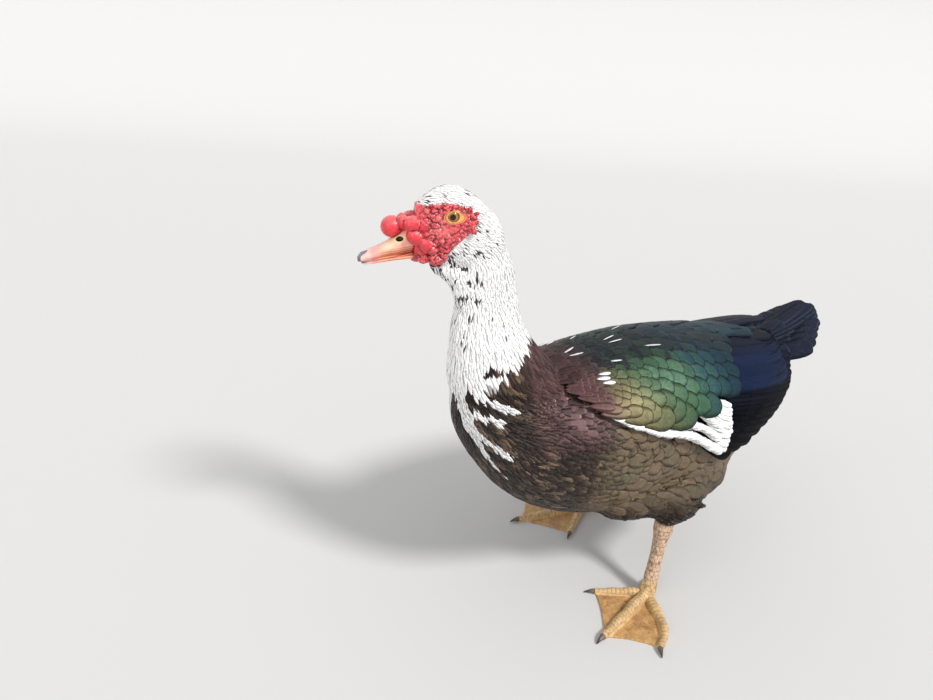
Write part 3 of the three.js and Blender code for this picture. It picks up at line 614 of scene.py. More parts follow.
# Skin: one surface through the body, neck, head and thighs. It lies under the solids' surface by the depth
# of each part's coat. The bare face and the chest lie deeper, and the rises bring it out again under the
# folded wings and down the back of the neck
skinFacts = {
    "nodes": ("torso", "neck_lower", "neck_upper", "head", "thigh_left", "thigh_right"),
    "tailRoot": ((228, 0, 224), (44, 42, 28)),                  # centre and radii
    "besideLegs": (((24, 50, 118), (70, 31, 33)), ((100, 45, 122), (51.5, 35, 41))),    # on both sides
    "throat": ((15.7, -42.4), (1.7, -59.4), (-2.4, -83.0)),     # its middle line in the head's side view
    "throatRadius": 12, "voxel": 2.4, "smoothing": 6,
    "headDepth": 0.9, "neckDepth": 1.0, "bodyDepth": 2.6, "faceDepth": 2.2, "chestSink": 3.0,
    "wingRise": 4.5, "napeRise": 5.8,
}


def makeSkin():
    f = skinFacts
    bm = mergedCopy(*f["nodes"], "face")
    balls = [f["tailRoot"]]
    balls += [((x, y * side, z), radii) for (x, y, z), radii in f["besideLegs"] for side in (-1, 1)]
    for a, b in zip(f["throat"][:-1], f["throat"][1:]):
        balls += [(fromHead([[x, 0, z]])[0], [f["throatRadius"]] * 3) for x, z in np.linspace(a, b, 6)]
    for centre, radii in balls:
        matrix = atPoint(centre) @ Matrix.Diagonal((*[r * 0.001 for r in radii], 1))
        bmesh.ops.create_icosphere(bm, subdivisions=4, radius=1, matrix=matrix)
    skin = remeshed("skin", bm, f["voxel"], f["smoothing"])
    points, normals = pointsOf(skin), normalsOf(skin)
    x, _, z = points.T
    wing = ramp(x, -120, -90) * (1 - ramp(x, 150, 215)) * ramp(hullDegrees(points), 2, 14)
    headward = ramp(z, 350, 385)
    bare = ramp(-maskDistance(toHead(points)), -0.5, 1.5) * headward
    nape = ramp(normals[:, 0], 0.2, 0.9) * ramp(z, 255, 300) * (1 - ramp(z, 355, 400))
    chest = ramp(-x, 130, 165) * ramp(z, 130, 165) * (1 - ramp(z, 235, 262))
    depth = f["bodyDepth"] + (f["neckDepth"] - f["bodyDepth"]) * ramp(z, 280, 310)
    depth = depth + (f["headDepth"] - f["neckDepth"]) * headward
    depth = depth + f["faceDepth"] * bare - f["wingRise"] * wing - f["napeRise"] * nape
    setPoints(skin, points - normals * (depth + f["chestSink"] * chest)[:, None])
    return skin


skin = makeSkin()
skinPoints, skinNormals = pointsOf(skin), normalsOf(skin)
skin.data.calc_loop_triangles()
skinTris = readAll(skin.data.loop_triangles, "vertices", 3, np.int32)
skinTree = BVHTree.FromPolygons(skinPoints.tolist(), skinTris.tolist())
print("skin surface", len(skinTris))

# An unwrap of the skin: length along this spine, and turn about it
spineRows = [
    (266, 0, 250), (200, 0, 215), (100, 0, 185), (0, 0, 180), (-100, 0, 190), (-140, 0, 220),
    (-150, 4, 280), (-160, 15, 335), (-168, 17, 390), (-195, 20, 418), (-235, 36, 408),
]


def unwrapped(points):
    spine = np.array(spineRows, float)
    steps = np.linalg.norm(np.diff(spine, axis=0), axis=1)
    starts = np.concatenate([[0], np.cumsum(steps)])
    best = np.full(len(points), 1e9)
    u = np.zeros(len(points))
    v = np.zeros(len(points))
    for i, (a, b) in enumerate(zip(spine[:-1], spine[1:])):
        way = unit(b - a)
        t = np.clip((points - a) @ way, 0, steps[i])
        off = points - a - t[:, None] * way
        away = np.linalg.norm(off, axis=1)
        side = unit(np.cross(way, (0, 1, 0)))
        turn = np.arctan2(off @ np.cross(way, side), off @ side) / (2 * math.pi) + 0.5
        closer = away < best
        best = np.where(closer, away, best)
        u = np.where(closer, (starts[i] + t) / starts[-1], u)
        v = np.where(closer, turn, v)
    return 0.01 + 0.98 * u, 0.01 + 0.98 * v


# Feather shapes: points across, then shares along the vane and the half widths there
featherShapes = {
    "round": (5, (0, 0.12, 0.28, 0.46, 0.62, 0.76, 0.88, 0.96, 1.0),
              (0.12, 0.45, 0.74, 0.93, 1.0, 0.96, 0.78, 0.5, 0.14)),
    "scallop": (3, (0, 0.2, 0.42, 0.62, 0.8, 0.93, 1.0), (0.2, 0.62, 0.92, 1.0, 0.88, 0.56, 0.14)),
    "tuft": (3, (0, 0.3, 0.6, 0.85, 1.0), (0.35, 0.9, 1.0, 0.6, 0.06)),
    "broad": (5, (0, 0.1, 0.25, 0.45, 0.65, 0.8, 0.9, 0.96, 0.99, 1.0),
              (0.25, 0.6, 0.85, 0.97, 1.0, 0.99, 0.92, 0.74, 0.45, 0.12)),
}


def meshFrom(name, points, quads):
    mesh = bpy.data.meshes.new(name)
    mesh.vertices.add(len(points))
    mesh.vertices.foreach_set("co", toRow(points).astype(np.float32).ravel())
    mesh.loops.add(quads.size)
    mesh.loops.foreach_set("vertex_index", quads.astype(np.int32).ravel())
    mesh.polygons.add(len(quads))
    mesh.polygons.foreach_set("loop_start", np.arange(len(quads), dtype=np.int32) * 4)
    mesh.update(calc_edges=True)
    mesh.polygons.foreach_set("use_smooth", np.ones(len(quads), bool))
    return mesh


def featherFaces(rows, columns):
    # each ring runs across the top from edge to edge and back under the shaft
    ring = columns + 1
    r = np.arange(rows - 1)[:, None] * ring
    c = np.arange(ring)[None, :]
    d = (c + 1) % ring
    sides = np.stack([r + c, r + d, r + ring + d, r + ring + c], -1).reshape(-1, 4)
    last = (rows - 1) * ring
    if columns == 5:
        caps = [(0, 5, 2, 1), (5, 4, 3, 2), (last, last + 1, last + 2, last + 5),
                (last + 2, last + 3, last + 4, last + 5)]
    else:
        caps = [(0, 3, 2, 1), (last, last + 1, last + 2, last + 3)]
    return np.concatenate([sides, np.array(caps)])


def featherPiece(name, coat, shapeName, place, flip=True):
    # coat holds one row for each feather; place gives points from shares along and across, and offsets
    columns, along, width = featherShapes[shapeName]
    count, rows = len(coat["length"]), len(along)
    ring = columns + 1
    rng = np.random.default_rng(count)
    uneven = np.repeat(1 + coat["ragged"] * rng.normal(0, 1, (count, rows, 2)), ring, 1)
    bend = rng.normal(0, coat["bend"], (count, 1))
    s = np.repeat(along, ring)[None, :]
    a = np.tile([*np.linspace(-1, 1, columns), 0.0], rows)[None, :]
    w = np.repeat(width, ring)[None, :] * np.where(a > 0, uneven[..., 1], uneven[..., 0])
    under = np.tile(np.arange(ring) == columns, rows)[None, :]
    length, half = coat["length"][:, None], coat["half"][:, None]
    offset = a * w * half + bend * length * s ** 2
    points = place(s + 0 * length, a + 0 * length, offset, under * coat["thick"][:, None] * (1 - 0.6 * s))
    faces = featherFaces(rows, columns)
    if flip:
        faces = faces[:, ::-1]
    quads = (faces[None] + (np.arange(count) * rows * ring)[:, None, None]).reshape(-1, 4)
    mesh = meshFrom(name, points.reshape(-1, 3), quads)
    fromTip = (1 - s) * length * 0.8
    fromEdge = fromTip if coat.get("tipsOnly") else np.minimum((1 - np.abs(a)) * w * half, fromTip)
    facts = [fromEdge / coat["rimWidth"][:, None], coat["gloss"][:, None], coat["chance"][:, None]]
    facts = np.stack(np.broadcast_arrays(*facts), -1)
    tint = np.repeat(coat["tint"][:, None], rows * ring, 1)
    if "tipTint" in coat:
        tint = tint + (coat["tipTint"][:, None] - tint) * (s ** 1.5)[..., None]
    rim = np.concatenate([coat["rim"], coat["strength"][:, None]], 1)
    rim = np.repeat(rim[:, None], rows * ring, 1)
    for key, values in (("tint", tint), ("rim", rim), ("facts", facts)):
        setColours(mesh, key, values.reshape(-1, values.shape[-1]))
    setUv(mesh, "vane", np.stack([a * w * half, s * length], -1).reshape(-1, 2))
    u, v = unwrapped(coat["root"])
    patch = [u[:, None] + a * w * 0.0015, v[:, None] + (s - 0.5) * 0.003 + 0 * w]
    setUv(mesh, "OFBake", np.stack(patch, -1).reshape(-1, 2))
    return linked(name, mesh)


# How far a feather's middle and tip follow the skin, in lengths, and its sides, in half widths
laidLimits = {"middle": (-0.4, 0.15), "tip": (-0.9, 0.15), "sag": (-0.7, 0.2), "lean": (-0.5, 0.5)}


def laidOn(coat):
    # place function for feathers that lie on the skin and bend with it
    root, way, aside, out = coat["root"], coat["way"], coat["aside"], coat["out"]
    length, half = coat["length"], coat["half"]

    def surfaceHeight(along, across):
        spot = root + way * along[:, None] + aside * across[:, None]
        found = np.array([skinTree.find_nearest(p)[0] for p in spot.tolist()])
        return ((found - spot) * out).sum(1)

    def limited(height, name, unitSize):
        low, high = laidLimits[name]
        return np.clip(height, unitSize * low, unitSize * high)

    middle = limited(surfaceHeight(length * 0.5, 0 * half), "middle", length)
    tip = limited(surfaceHeight(length, 0 * half), "tip", length)
    left, right = (surfaceHeight(length * 0.6, half * side) for side in (1, -1))
    there = middle * 0.96 + tip * 0.12          # the curve's own height, as far along as the sides
    sag = limited((left + right) / 2 - there, "sag", half)
    lean = limited((left - right) / 2, "lean", half)

    def place(s, a, offset, under):
        curve = middle[:, None] * 4 * s * (1 - s) + tip[:, None] * s * (2 * s - 1)
        share = offset / np.maximum(half[:, None], 1e-6)
        ridge = coat["crown"][:, None] * (1 - a**2) * np.sin(np.pi * np.clip(s, 0.05, 0.95))
        height = (curve + sag[:, None] * share**2 + lean[:, None] * share * np.minimum(s * 2, 1)
                  + coat["base"][:, None] + coat["lift"][:, None] * s ** 0.8 + ridge - under)
        reach = (s * length[:, None])[..., None]
        return (root[:, None] + way[:, None] * reach + aside[:, None] * offset[..., None]
                + out[:, None] * height[..., None])

    return place


# A feather is shortened where its tip would stand off the skin by more than the clear distance and a share
# of its length, as behind the thighs and at tight turns
strayFacts = {"clear": 2.2, "share": 0.03, "shortened": 0.4}


def strayShare(coat, place):
    f = strayFacts
    one = np.ones((len(coat["length"]), 1))
    tips = place(one, 0 * one, 0 * one, 0.0)[:, 0]
    away = np.array([skinTree.find_nearest(p)[3] for p in tips.tolist()])
    return np.where(away > f["clear"] + f["share"] * coat["length"], f["shortened"], 1.0)


rootTries = 7                         # spots tried for each gap's square of skin


def pickRoots(mask, spacing, seed):
    # evenly strewn points on the skin, as far apart as spacing says at each place
    rng = np.random.default_rng(seed)
    corners = skinPoints[skinTris]
    centre = corners.mean(1)
    normal = np.cross(corners[:, 1] - corners[:, 0], corners[:, 2] - corners[:, 0])
    weight = np.linalg.norm(normal, axis=1) / 2 * mask(centre) / spacing(centre) ** 2
    total = int(weight.sum() * rootTries)
    picked = skinTris[rng.choice(len(weight), total, p=weight / weight.sum())]
    share = rng.random((total, 2))
    share = np.where(share.sum(1, keepdims=True) > 1, 1 - share, share)
    share = np.concatenate([1 - share.sum(1, keepdims=True), share], 1)[..., None]
    spot = (skinPoints[picked] * share).sum(1)
    out = unit((skinNormals[picked] * share).sum(1))
    gaps = spacing(spot)
    chosen = thinned(spot, range(total), gaps, np.ones(total, bool))
    return spot[chosen], out[chosen], gaps[chosen], rng


# The lie of the coat: back along the body, down the neck, and down the thighs above the ankles
ankles = ((44, -70), (76, 60))


def thighShare(points):
    share = np.zeros(len(points))
    for x, y in ankles:
        away = np.hypot(points[:, 0] - x, points[:, 1] - y)
        share = np.maximum(share, (1 - ramp(away, 20, 34)) * (1 - ramp(points[:, 2], 88, 108)))
    return share


def coatWay(points, out):
    # direction in which feathers lie at each point
    x, _, z = points.T
    way = layered(
        [1.0, 0.0, -0.42], ([0.12, -0.05, -1.0], ramp(z, 240, 305)),
        (-headForward * 0.75 - headUp * 0.65, ramp(z, 372, 402)),
        ([0.6, 0.0, -1.0], thighShare(points)), ([1.0, 0.0, 0.45], ramp(x, 150, 220)),
    )
    return unit(way - out * (way * out).sum(1, keepdims=True))


wingEdge = ((-100, -62, -10, 44, 76, 100, 150, 210), (60, 34, 17, 4, -6, -8, -2, 18))   # X, degrees


def underWing(points):
    # on the body's side where the wing's own feathers lie
    x, _, z = points.T
    return (x > -90) & (x < 205) & (hullDegrees(points) > np.interp(x, *wingEdge) + 5) & (z > 120)


# Each coat's feathers: shape; length and half width in gaps between feathers; swing about their lie in
# degrees; base in millimetres; lift in lengths; thickness in gaps; crown and rim in half widths; sink in
# millimetres; raggedness, bend, whether only tips have a rim, and whether dark dashes are strewn in
coatKeys = "shape length half swing base lift thick crown rim sink ragged bend tipsOnly dashes".split()
coatFacts = {
    "head": ("tuft", 5.0, 0.68, 8, 0.1, 0.02, 0.012, 0.05, 0.2, 0.3, 0.08, 0.04, False, True),
    "neck": ("tuft", 5.6, 0.72, 7, 0.3, 0.017, 0.006, 0.05, 0.2, 0.3, 0.08, 0.04, False, True),
    "chest": ("tuft", 4.8, 0.66, 9, 0.2, 0.03, 0.01, 0.04, 1.5, 0.3, 0.1, 0.05, True, False),
    "breast": ("scallop", 4.4, 0.82, 7, 0.2, 0.03, 0.005, 0.02, 1.2, 0.35, 0.1, 0.04, True, False),
    "belly": ("scallop", 4.8, 0.6, 10, 0.2, 0.03, 0.008, 0.03, 1.6, 0.4, 0.12, 0.06, True, False),
    "flank": ("round", 3.4, 0.98, 4, 0.15, 0.036, 0.006, 0.01, 0.13, 0.4, 0.04, 0.02, False, False),
    "shoulder": ("round", 3.6, 0.85, 6, 0.25, 0.034, 0.006, 0.03, 0.7, 0.35, 0.07, 0.03, True, False),
}
coatShared = {                        # sizes, bases and lifts vary between their two numbers
    "sizes": (0.86, 1.14), "legShortening": 0.5, "colourAt": 0.7, "dashHalf": 0.6, "leastThick": 0.1,
    "bases": (0, 0.05), "lifts": (0.9, 1.1), "leastRim": 0.5,
}


def makeCoat(zone, roots, look, slotName):
    root, out, gaps, rng = roots
    f = {**coatShared, **dict(zip(coatKeys, coatFacts[zone]))}
    n = len(root)
    way = coatWay(root, out)
    aside = np.cross(out, way)
    swing = np.radians(rng.normal(0, f["swing"], n))[:, None]
    way, aside = way * np.cos(swing) + aside * np.sin(swing), aside * np.cos(swing) - way * np.sin(swing)
    chance = rng.random(n)
    size = rng.uniform(*f["sizes"], n)
    byLeg = np.maximum(thighShare(root), 1 - ramp(root[:, 2], 78, 96))
    length = gaps * f["length"] * size * (1 - f["legShortening"] * byLeg)
    half = gaps * f["half"] * size
    tint, rim, strength, gloss = bodyColours(root + way * (length * f["colourAt"])[:, None], out, chance)
    if f["dashes"]:
        dark = dashed(root, rng.random(n)) & (tint.sum(1) > 1.5)
        tint = np.where(dark[:, None], tones["dash"], tint)
        half = np.where(dark, half * f["dashHalf"], half)
    coat = {
        "root": root - out * f["sink"], "way": way, "aside": aside, "out": out, "length": length,
        "half": half, "thick": gaps * f["thick"] + f["leastThick"],
        "base": f["base"] + rng.uniform(*f["bases"], n),
        "lift": length * f["lift"] * rng.uniform(*f["lifts"], n), "crown": half * f["crown"],
        "tint": tint, "rim": rim, "strength": strength, "gloss": gloss, "chance": chance,
        "rimWidth": np.maximum(half * f["rim"], f["leastRim"]), "ragged": f["ragged"], "bend": f["bend"],
        "tipsOnly": f["tipsOnly"],
    }
    share = strayShare(coat, laidOn(coat))
    for key in ("length", "lift"):
        coat[key] = coat[key] * share
    finished(featherPiece(f"{zone}Feathers", coat, f["shape"], laidOn(coat)), look, slotName)


# Where the coats lie, in heights over the ground and Xs: the head's keeps off the bare face, the neck's ends
# at its back, and the body's leaves out the neck. Its zones meet in ragged lines
coatReach = {
    "head": 372, "mask": 0.6, "neck": (262, 373), "neckBack": -96, "body": (79, 300),
    "bodyNeck": (-104, 260), "bodyZones": ("chest", "breast", "belly", "flank", "shoulder"),
    "breastFrom": -122, "flankFrom": -66, "shoulderFrom": 226, "bellyTop": 112, "raggedness": 8,
}
# Gaps between feathers. Those of head, neck and chest stand alone, and the others add to them
coatGaps = {
    "head": 1.3, "headBehind": 0.45, "neck": 1.75, "neckLow": 0.9, "chest": 2.6, "breast": 1.1,
    "shoulder": 1.7, "belly": -0.7, "flank": 5.8, "flankBehind": -2.0,
}


def headMask(points):
    outside = maskDistance(toHead(points)) > coatReach["mask"]
    return (outside & (points[:, 2] > coatReach["head"])).astype(float)


def headSpacing(points):
    return coatGaps["head"] + coatGaps["headBehind"] * ramp(maskDistance(toHead(points)), 2, 20)


def neckMask(points):
    x, _, z = points.T
    low, high = coatReach["neck"]
    return ((z > low) & (z <= high) & (x < coatReach["neckBack"])).astype(float)


def neckSpacing(points):
    return coatGaps["neck"] + coatGaps["neckLow"] * (1 - ramp(points[:, 2], 275, 345))


def bodyMask(points):
    x, _, z = points.T
    (low, high), (neckX, neckZ) = coatReach["body"], coatReach["bodyNeck"]
    neck = (z > neckZ) & (x < neckX)
    return (~neck & (z < high) & ~underWing(points) & (z > low)).astype(float)


def bodySpacing(points):
    g = coatGaps
    x, _, z = points.T
    breast = ramp(x, -134, -112)
    belly = 1 - ramp(z, 100, 142)
    flank = ramp(x, -84, -40) * (1 - belly)
    gap = g["chest"] + g["breast"] * breast + g["shoulder"] * ramp(x, -126, -112) * ramp(z, 222, 232)
    gap = gap + g["belly"] * belly * breast + g["flank"] * flank
    return gap + g["flankBehind"] * flank * ramp(x, 120, 180)


def bodyZone(root):
    # each point's number among the zones
    f = coatReach
    x, _, z = root.T
    ragged = f["raggedness"] * grain(root, 20, 7)
    zone = np.where(x > f["flankFrom"] + ragged, 3, np.where(x > f["breastFrom"] + ragged, 1, 0))
    zone = np.where((zone == 1) & (z > f["shoulderFrom"] + ragged), 4, zone)
    return np.where((z < f["bellyTop"] + ragged) & (zone > 0), 2, zone)


makeCoat("head", pickRoots(headMask, headSpacing, 11), "whitePlumage", "white_plumage")
makeCoat("neck", pickRoots(neckMask, neckSpacing, 12), "whitePlumage", "white_plumage")
spots, outs, gaps, bodyDraw = pickRoots(bodyMask, bodySpacing, 13)
zones = bodyZone(spots)
for number, zone in enumerate(coatReach["bodyZones"]):
    own = zones == number
    makeCoat(zone, (spots[own], outs[own], gaps[own], bodyDraw), "darkPlumage", "dark_plumage")


def finishSkin():
    tint = bodyColours(skinPoints, skinNormals, np.full(len(skinPoints), 0.5))[0]
    # skin under the folded wings is painted near black: painted shade where it shows between the feathers
    tint[underWing(skinPoints)] = tones["underWing"]
    # skin under the bare face takes the face's dark crease red: painted shade where it shows at the mask's
    # edge
    bare = (maskDistance(toHead(skinPoints)) < 0.3) & (skinPoints[:, 2] > 365)
    tint[bare] = tones["faceShade"]
    setColours(skin.data, "tint", tint)
    setUv(skin.data, "OFBake", np.stack(unwrapped(skinPoints), 1))
    finished(skin, "bodySkin", "dark_plumage", *skinFacts["nodes"])


finishSkin()


def joinedPieces(name, parts):
    bm = bmesh.new()
    for part in parts:
        old = part.data
        bm.from_mesh(old)
        bpy.data.objects.remove(part)
        bpy.data.meshes.remove(old)
    return linked(name, meshOf(name, bm))


# Wings: coverts over the quills, each feather laid on the folded wing's outer surface by its X and its
# degrees above the widest level
wingRadius = 95                       # mean distance from the body's axis, to turn widths into degrees


def wingFeathers(name, rows, look, side, rng):
    # rows hold the root's X and degrees, the tip's X and degrees, and the half width
    rootX, rootTurn, tipX, tipTurn, half = np.array(rows, float).T
    n = len(rootX)
    run = np.stack([tipX - rootX, np.radians(tipTurn - rootTurn) * wingRadius], 1)
    length = np.linalg.norm(run, axis=1)
    way = run / length[:, None]
    rootDepth, tipDepth = (np.broadcast_to(look[end], n).astype(float) for end in ("rootDepth", "tipDepth"))

    def place(s, a, offset, under):
        x = rootX[:, None] + (tipX - rootX)[:, None] * s - way[:, 1:2] * offset
        turned = np.degrees(way[:, 0:1] * offset / wingRadius)
        turn = rootTurn[:, None] + (tipTurn - rootTurn)[:, None] * s + turned
        sunk = rootDepth[:, None] + (tipDepth - rootDepth)[:, None] * s ** 0.8
        ridge = look["crown"] * half[:, None] * (1 - a**2) * np.sin(np.pi * np.clip(s, 0.05, 0.95))
        rolled = look["roll"] * offset / half[:, None]
        return hullPoint(x, turn, sunk + rolled - ridge + under, side)

    chance = rng.random(n)
    light = (1 - look["spread"] + 2 * look["spread"] * chance)[:, None]
    nearRoot = look["colours"](rootX + (tipX - rootX) * 0.35, rootTurn + (tipTurn - rootTurn) * 0.35)[0]
    tint, rim, strength = look["colours"](tipX, tipTurn)
    coat = {
        "root": hullPoint(rootX, rootTurn, rootDepth, side), "length": length, "half": half,
        "thick": np.full(n, look["thick"]), "tint": nearRoot * light, "tipTint": tint * light,
        "rim": np.broadcast_to(rim, (n, 3)), "strength": strength + 0 * chance,
        "gloss": np.full(n, look["gloss"]), "chance": chance,
        "rimWidth": np.maximum(half * look["rim"], 0.7), "ragged": look["ragged"], "bend": look["bend"],
    }
    return featherPiece(name, coat, look["shape"], place, side > 0)


# Each gives tint, rim and the rim's strength for feathers by X and degrees on the wing
def covertColours(x, degrees):
    # bronze at the lower front through green to teal behind, brown at the shoulder, with a mint painted
    # highlight high in the middle
    shoulder = 1 - ramp(x, -66, -40)
    # where the mint painted highlight lies
    lit = np.exp(-(((x - 22) / 26) ** 2) - ((degrees - 50) / 9) ** 2)
    tint = layered(
        "bronze", ("green", ramp(x + 1.1 * (degrees - 35), -36, 16)), ("mintHighlight", 0.8 * lit),
        ("teal", ramp(x + 0.5 * (degrees - 40), 44, 70)), ("deepTeal", ramp(x, 76, 104)),
        ("back", 0.8 * ramp(degrees, 58, 72)), ("shoulder", shoulder),
    )
    return tint, mix("rimDark", "shoulderRim", shoulder), 0.7 - 0.1 * shoulder


def quillColours(_, degrees):
    tint = mix("slate", "navy", 1 - ramp(degrees, 18, 32))
    return tint, tones["slate"] * 1.4, 0.15


def tertialColours(_, degrees):
    return mix("blue", "slate", ramp(degrees, 50, 70)), tones["rimDark"], 0.25


def scapularColours(x, _):
    tint = mix("back", "deepTeal", ramp(x, 10, 90))
    return mix(tint, tones["shoulder"] * 0.7, 1 - ramp(x, -70, -40)), tones["backRim"], 0.4


def whiteColours(*_):
    return tones["white"], tones["white"], 0.0


covertRows = {
    "tipX": (-92, -85, -78, -70, -61, -51, -40, -28, -15, -1, 14, 30, 46, 62, 78, 94, 110),
    "lowest": (54, 51, 47, 43, 39, 35, 32, 29, 27, 25.5, 24, 22, 21, 22, 27, 33, 35),
    "half": (3.8, 4.2, 4.7, 5.3, 6, 6.8, 7.8, 9, 10.4, 11.7, 12.8, 13.6, 14, 14.3, 14.5, 14.5, 14),
    "highest": 80,
    "slope": 0.6,                     # how much further back a tip is for each degree up
    "reach": 4.0,                     # length in half widths
    "crowding": 1.15,
}


def covertPlaces(rng):
    f = covertRows
    rows, depths = [], []
    for k, (tipX, low, half) in enumerate(zip(f["tipX"], f["lowest"], f["half"])):
        step = np.degrees(half * f["crowding"] / wingRadius)
        for turn in np.arange(low + (k % 2) * step / 2, f["highest"], step):
            tip = tipX + f["slope"] * (turn - 40) + rng.normal(0, half * 0.13)
            drop = 7 * (f["highest"] - turn) / (f["highest"] - low) - 1
            rows.append((tip - half * f["reach"], turn + drop + rng.normal(0, 0.6), tip,
                         turn + rng.normal(0, 0.9), half * rng.uniform(0.9, 1.12)))
            depths.append(0.5 - 0.05 * k)
    return rows, depths


# The white of the wing: tips along its lower edge, then up behind the last green feathers
wingWhite = {
    "paths": (
        ((-57, 32), (-36, 22.5), (-8, 14.5), (20, 10.5), (44, 5), (60, 0), (80, -5)),
        ((20, 17), (44, 13), (60, 9), (74, 3)), ((52, 20), (66, 15), (76, 9)),
        ((82, -3), (85, 6), (86, 15), (85, 25)),
    ),
    "gap": 4.6, "half": 4.2, "halves": (0.9, 1.15), "length": (13, 26), "back": 0.93, "rise": 0.22,
}
wingFlecks = [
    (-63, 62, -50, 60, 3.0), (-60, 58, -48, 56, 3.0), (-58, 65, -46, 63, 2.4), (-66, 88, -50, 86, 1.3),
    (16, 76, 34, 73, 1.2), (-36, 72, -24, 69, 1.2), (-14, 88, 2, 87, 1.0),
]


def whitePlaces(rng):
    f = wingWhite
    short, long = f["length"]
    rows = []
    for path in f["paths"]:
        corners = np.array(path, float) * (1, math.radians(wingRadius))
        reach = pathReach(corners)
        for t in np.arange(0, reach[-1], f["gap"]):
            x, rise = (np.interp(t, reach, corners[:, k]) for k in (0, 1))
            turn = rise / math.radians(wingRadius)
            length = short + (long - short) * float(ramp(x, -50, 30))
            tip = x + rng.normal(0, 0.8)
            half = f["half"] * rng.uniform(*f["halves"])
            rows.append((tip - f["back"] * length, turn + f["rise"] * length, tip, turn, half))
    return rows


def fanned(count, roots, tips, half, bow=0.0):
    # evenly from the lowest feather to the highest, the middle ones further back by the bow
    share = np.linspace(0, 1, count)[:, None]
    ends = [np.array(low) * (1 - share) + np.array(high) * share for low, high in (roots, tips)]
    ends[1][:, 0] += bow * np.sin(share[:, 0] * np.pi)
    return np.concatenate([*ends, np.full((count, 1), float(half))], 1)


scapularRows = {
    "tipX": (-86, -72, -56, -38, -16, 8, 34, 60, 86, 112, 138, 164, 190, 212), "degrees": (66, 100),
    "half": 4.5, "halfGrowth": 0.65, "widest": 10.5, "crowding": 1.4, "reach": 4.6,
}


def scapularPlaces(rng):
    f = scapularRows
    rows = []
    for k, tipX in enumerate(f["tipX"]):
        half = min(f["half"] + f["halfGrowth"] * k, f["widest"])
        lowest = f["degrees"][0] + max(tipX - 60, 0) * 0.1 + (k % 2) * 4
        for turn in np.arange(lowest, f["degrees"][1], np.degrees(half * f["crowding"] / wingRadius)):
            tip = (tipX + rng.normal(0, 3), turn + rng.normal(0, 1.5))
            rows.append((tipX - half * f["reach"], turn + 3, *tip, half))
    return rows


# Tiers of the wing: depths under its outer surface and roll in millimetres. The coverts' tips rise row by
# row, so they have no depth here
wingShared = {"crown": 0.02, "thick": 0.22, "bend": 0.02, "rim": 0.07}
wingKeys = "shape rootDepth tipDepth roll gloss ragged spread colours".split()
wingTiers = {
    "primaries": ("broad", 9.5, 7.8, 0.8, 0.1, 0.03, 0.12, quillColours),
    "secondaries": ("broad", 6.5, 4.2, 0.5, 0.1, 0.03, 0.12, quillColours),
    "tertials": ("broad", 4.0, 1.1, 0.2, 0.3, 0.03, 0.12, tertialColours),
    "band": ("round", 3.2, 1.4, 0.0, 0.0, 0.09, 0.02, whiteColours),
    "coverts": ("round", 2.2, None, -0.15, 0.4, 0.04, 0.12, covertColours),
    "scapulars": ("broad", 2.4, -0.2, 0.0, 0.35, 0.03, 0.25, scapularColours),
    "flecks": ("scallop", 0.2, -0.9, 0.0, 0.0, 0.03, 0.02, whiteColours),
    "tips": ("broad", 4.0, -6.5, 0.6, 0.1, 0.03, 0.12, quillColours),
}


def makeWing(name, side, node):
    rng = np.random.default_rng(42)
    coverts, depths = covertPlaces(rng)
    places = {
        "primaries": fanned(6, ((92, 22), (100, 56)), ((222, 24), (240, 50)), 10),
        "secondaries": fanned(15, ((30, 10), (66, 44)), ((96, -9), (214, 28)), 9.5, 36),
        "tertials": fanned(6, ((64, 42), (70, 80)), ((204, 33), (222, 75)), 17),
        "band": whitePlaces(rng), "coverts": coverts, "scapulars": scapularPlaces(rng), "flecks": wingFlecks,
    }
    if side < 0:                      # the farther wing's quill tips rise behind the back
        places["tips"] = fanned(5, ((150, 64), (158, 88)), ((234, 60), (246, 86)), 11)
    parts = []
    for tier, rows in places.items():
        look = {**wingShared, **dict(zip(wingKeys, wingTiers[tier]))}
        if tier == "coverts":
            look["tipDepth"] = depths
        parts.append(wingFeathers(tier, rows, look, side, rng))
    finished(joinedPieces(name, parts), "wingPlumage", "wing_plumage", node)


makeWing("wingLeft", 1, "wing_left")
makeWing("wingRight", -1, "wing_right")

# Tail: a roof of broad quills, the middle pair on top, with coverts over and under their roots
tailFacts = {
    "count": 8, "tip": 320, "rootX": 228, "rootSpread": 26, "rootZ": 249, "rootDrop": 12,
    "edgeX": 263, "edgeSpread": 56, "edgeZ": 285, "edgeDrop": 33, "slope": 0.75, "sag": 3, "stack": 1.0,
}


def tailPoint(s, share, side, offset, height):
    # s runs from the quills' roots to their tips; share from the middle pair out to the edge
    f = tailFacts
    root = np.stack([f["rootX"] + 0 * share, share * f["rootSpread"] * side,
                     f["rootZ"] - f["rootDrop"] * share ** 1.7], -1)
    tip = np.stack([f["tip"] + (f["edgeX"] - f["tip"]) * share ** 1.9, share * f["edgeSpread"] * side,
                    f["edgeZ"] - f["edgeDrop"] * share ** 1.6], -1)
    run = tip - root
    way = unit(run)
    flat = np.stack([0 * share, side + 0 * share, -f["slope"] * share ** 0.6], -1)
    aside = unit(flat - way * (flat * way).sum(-1, keepdims=True))
    out = np.cross(aside, way) * -side
    sunk = f["stack"] * f["count"] * share + f["sag"] * np.sin(np.clip(s, 0, 1) * np.pi)
    return root + run * s[..., None] + aside * offset[..., None] + out * (height - sunk)[..., None]


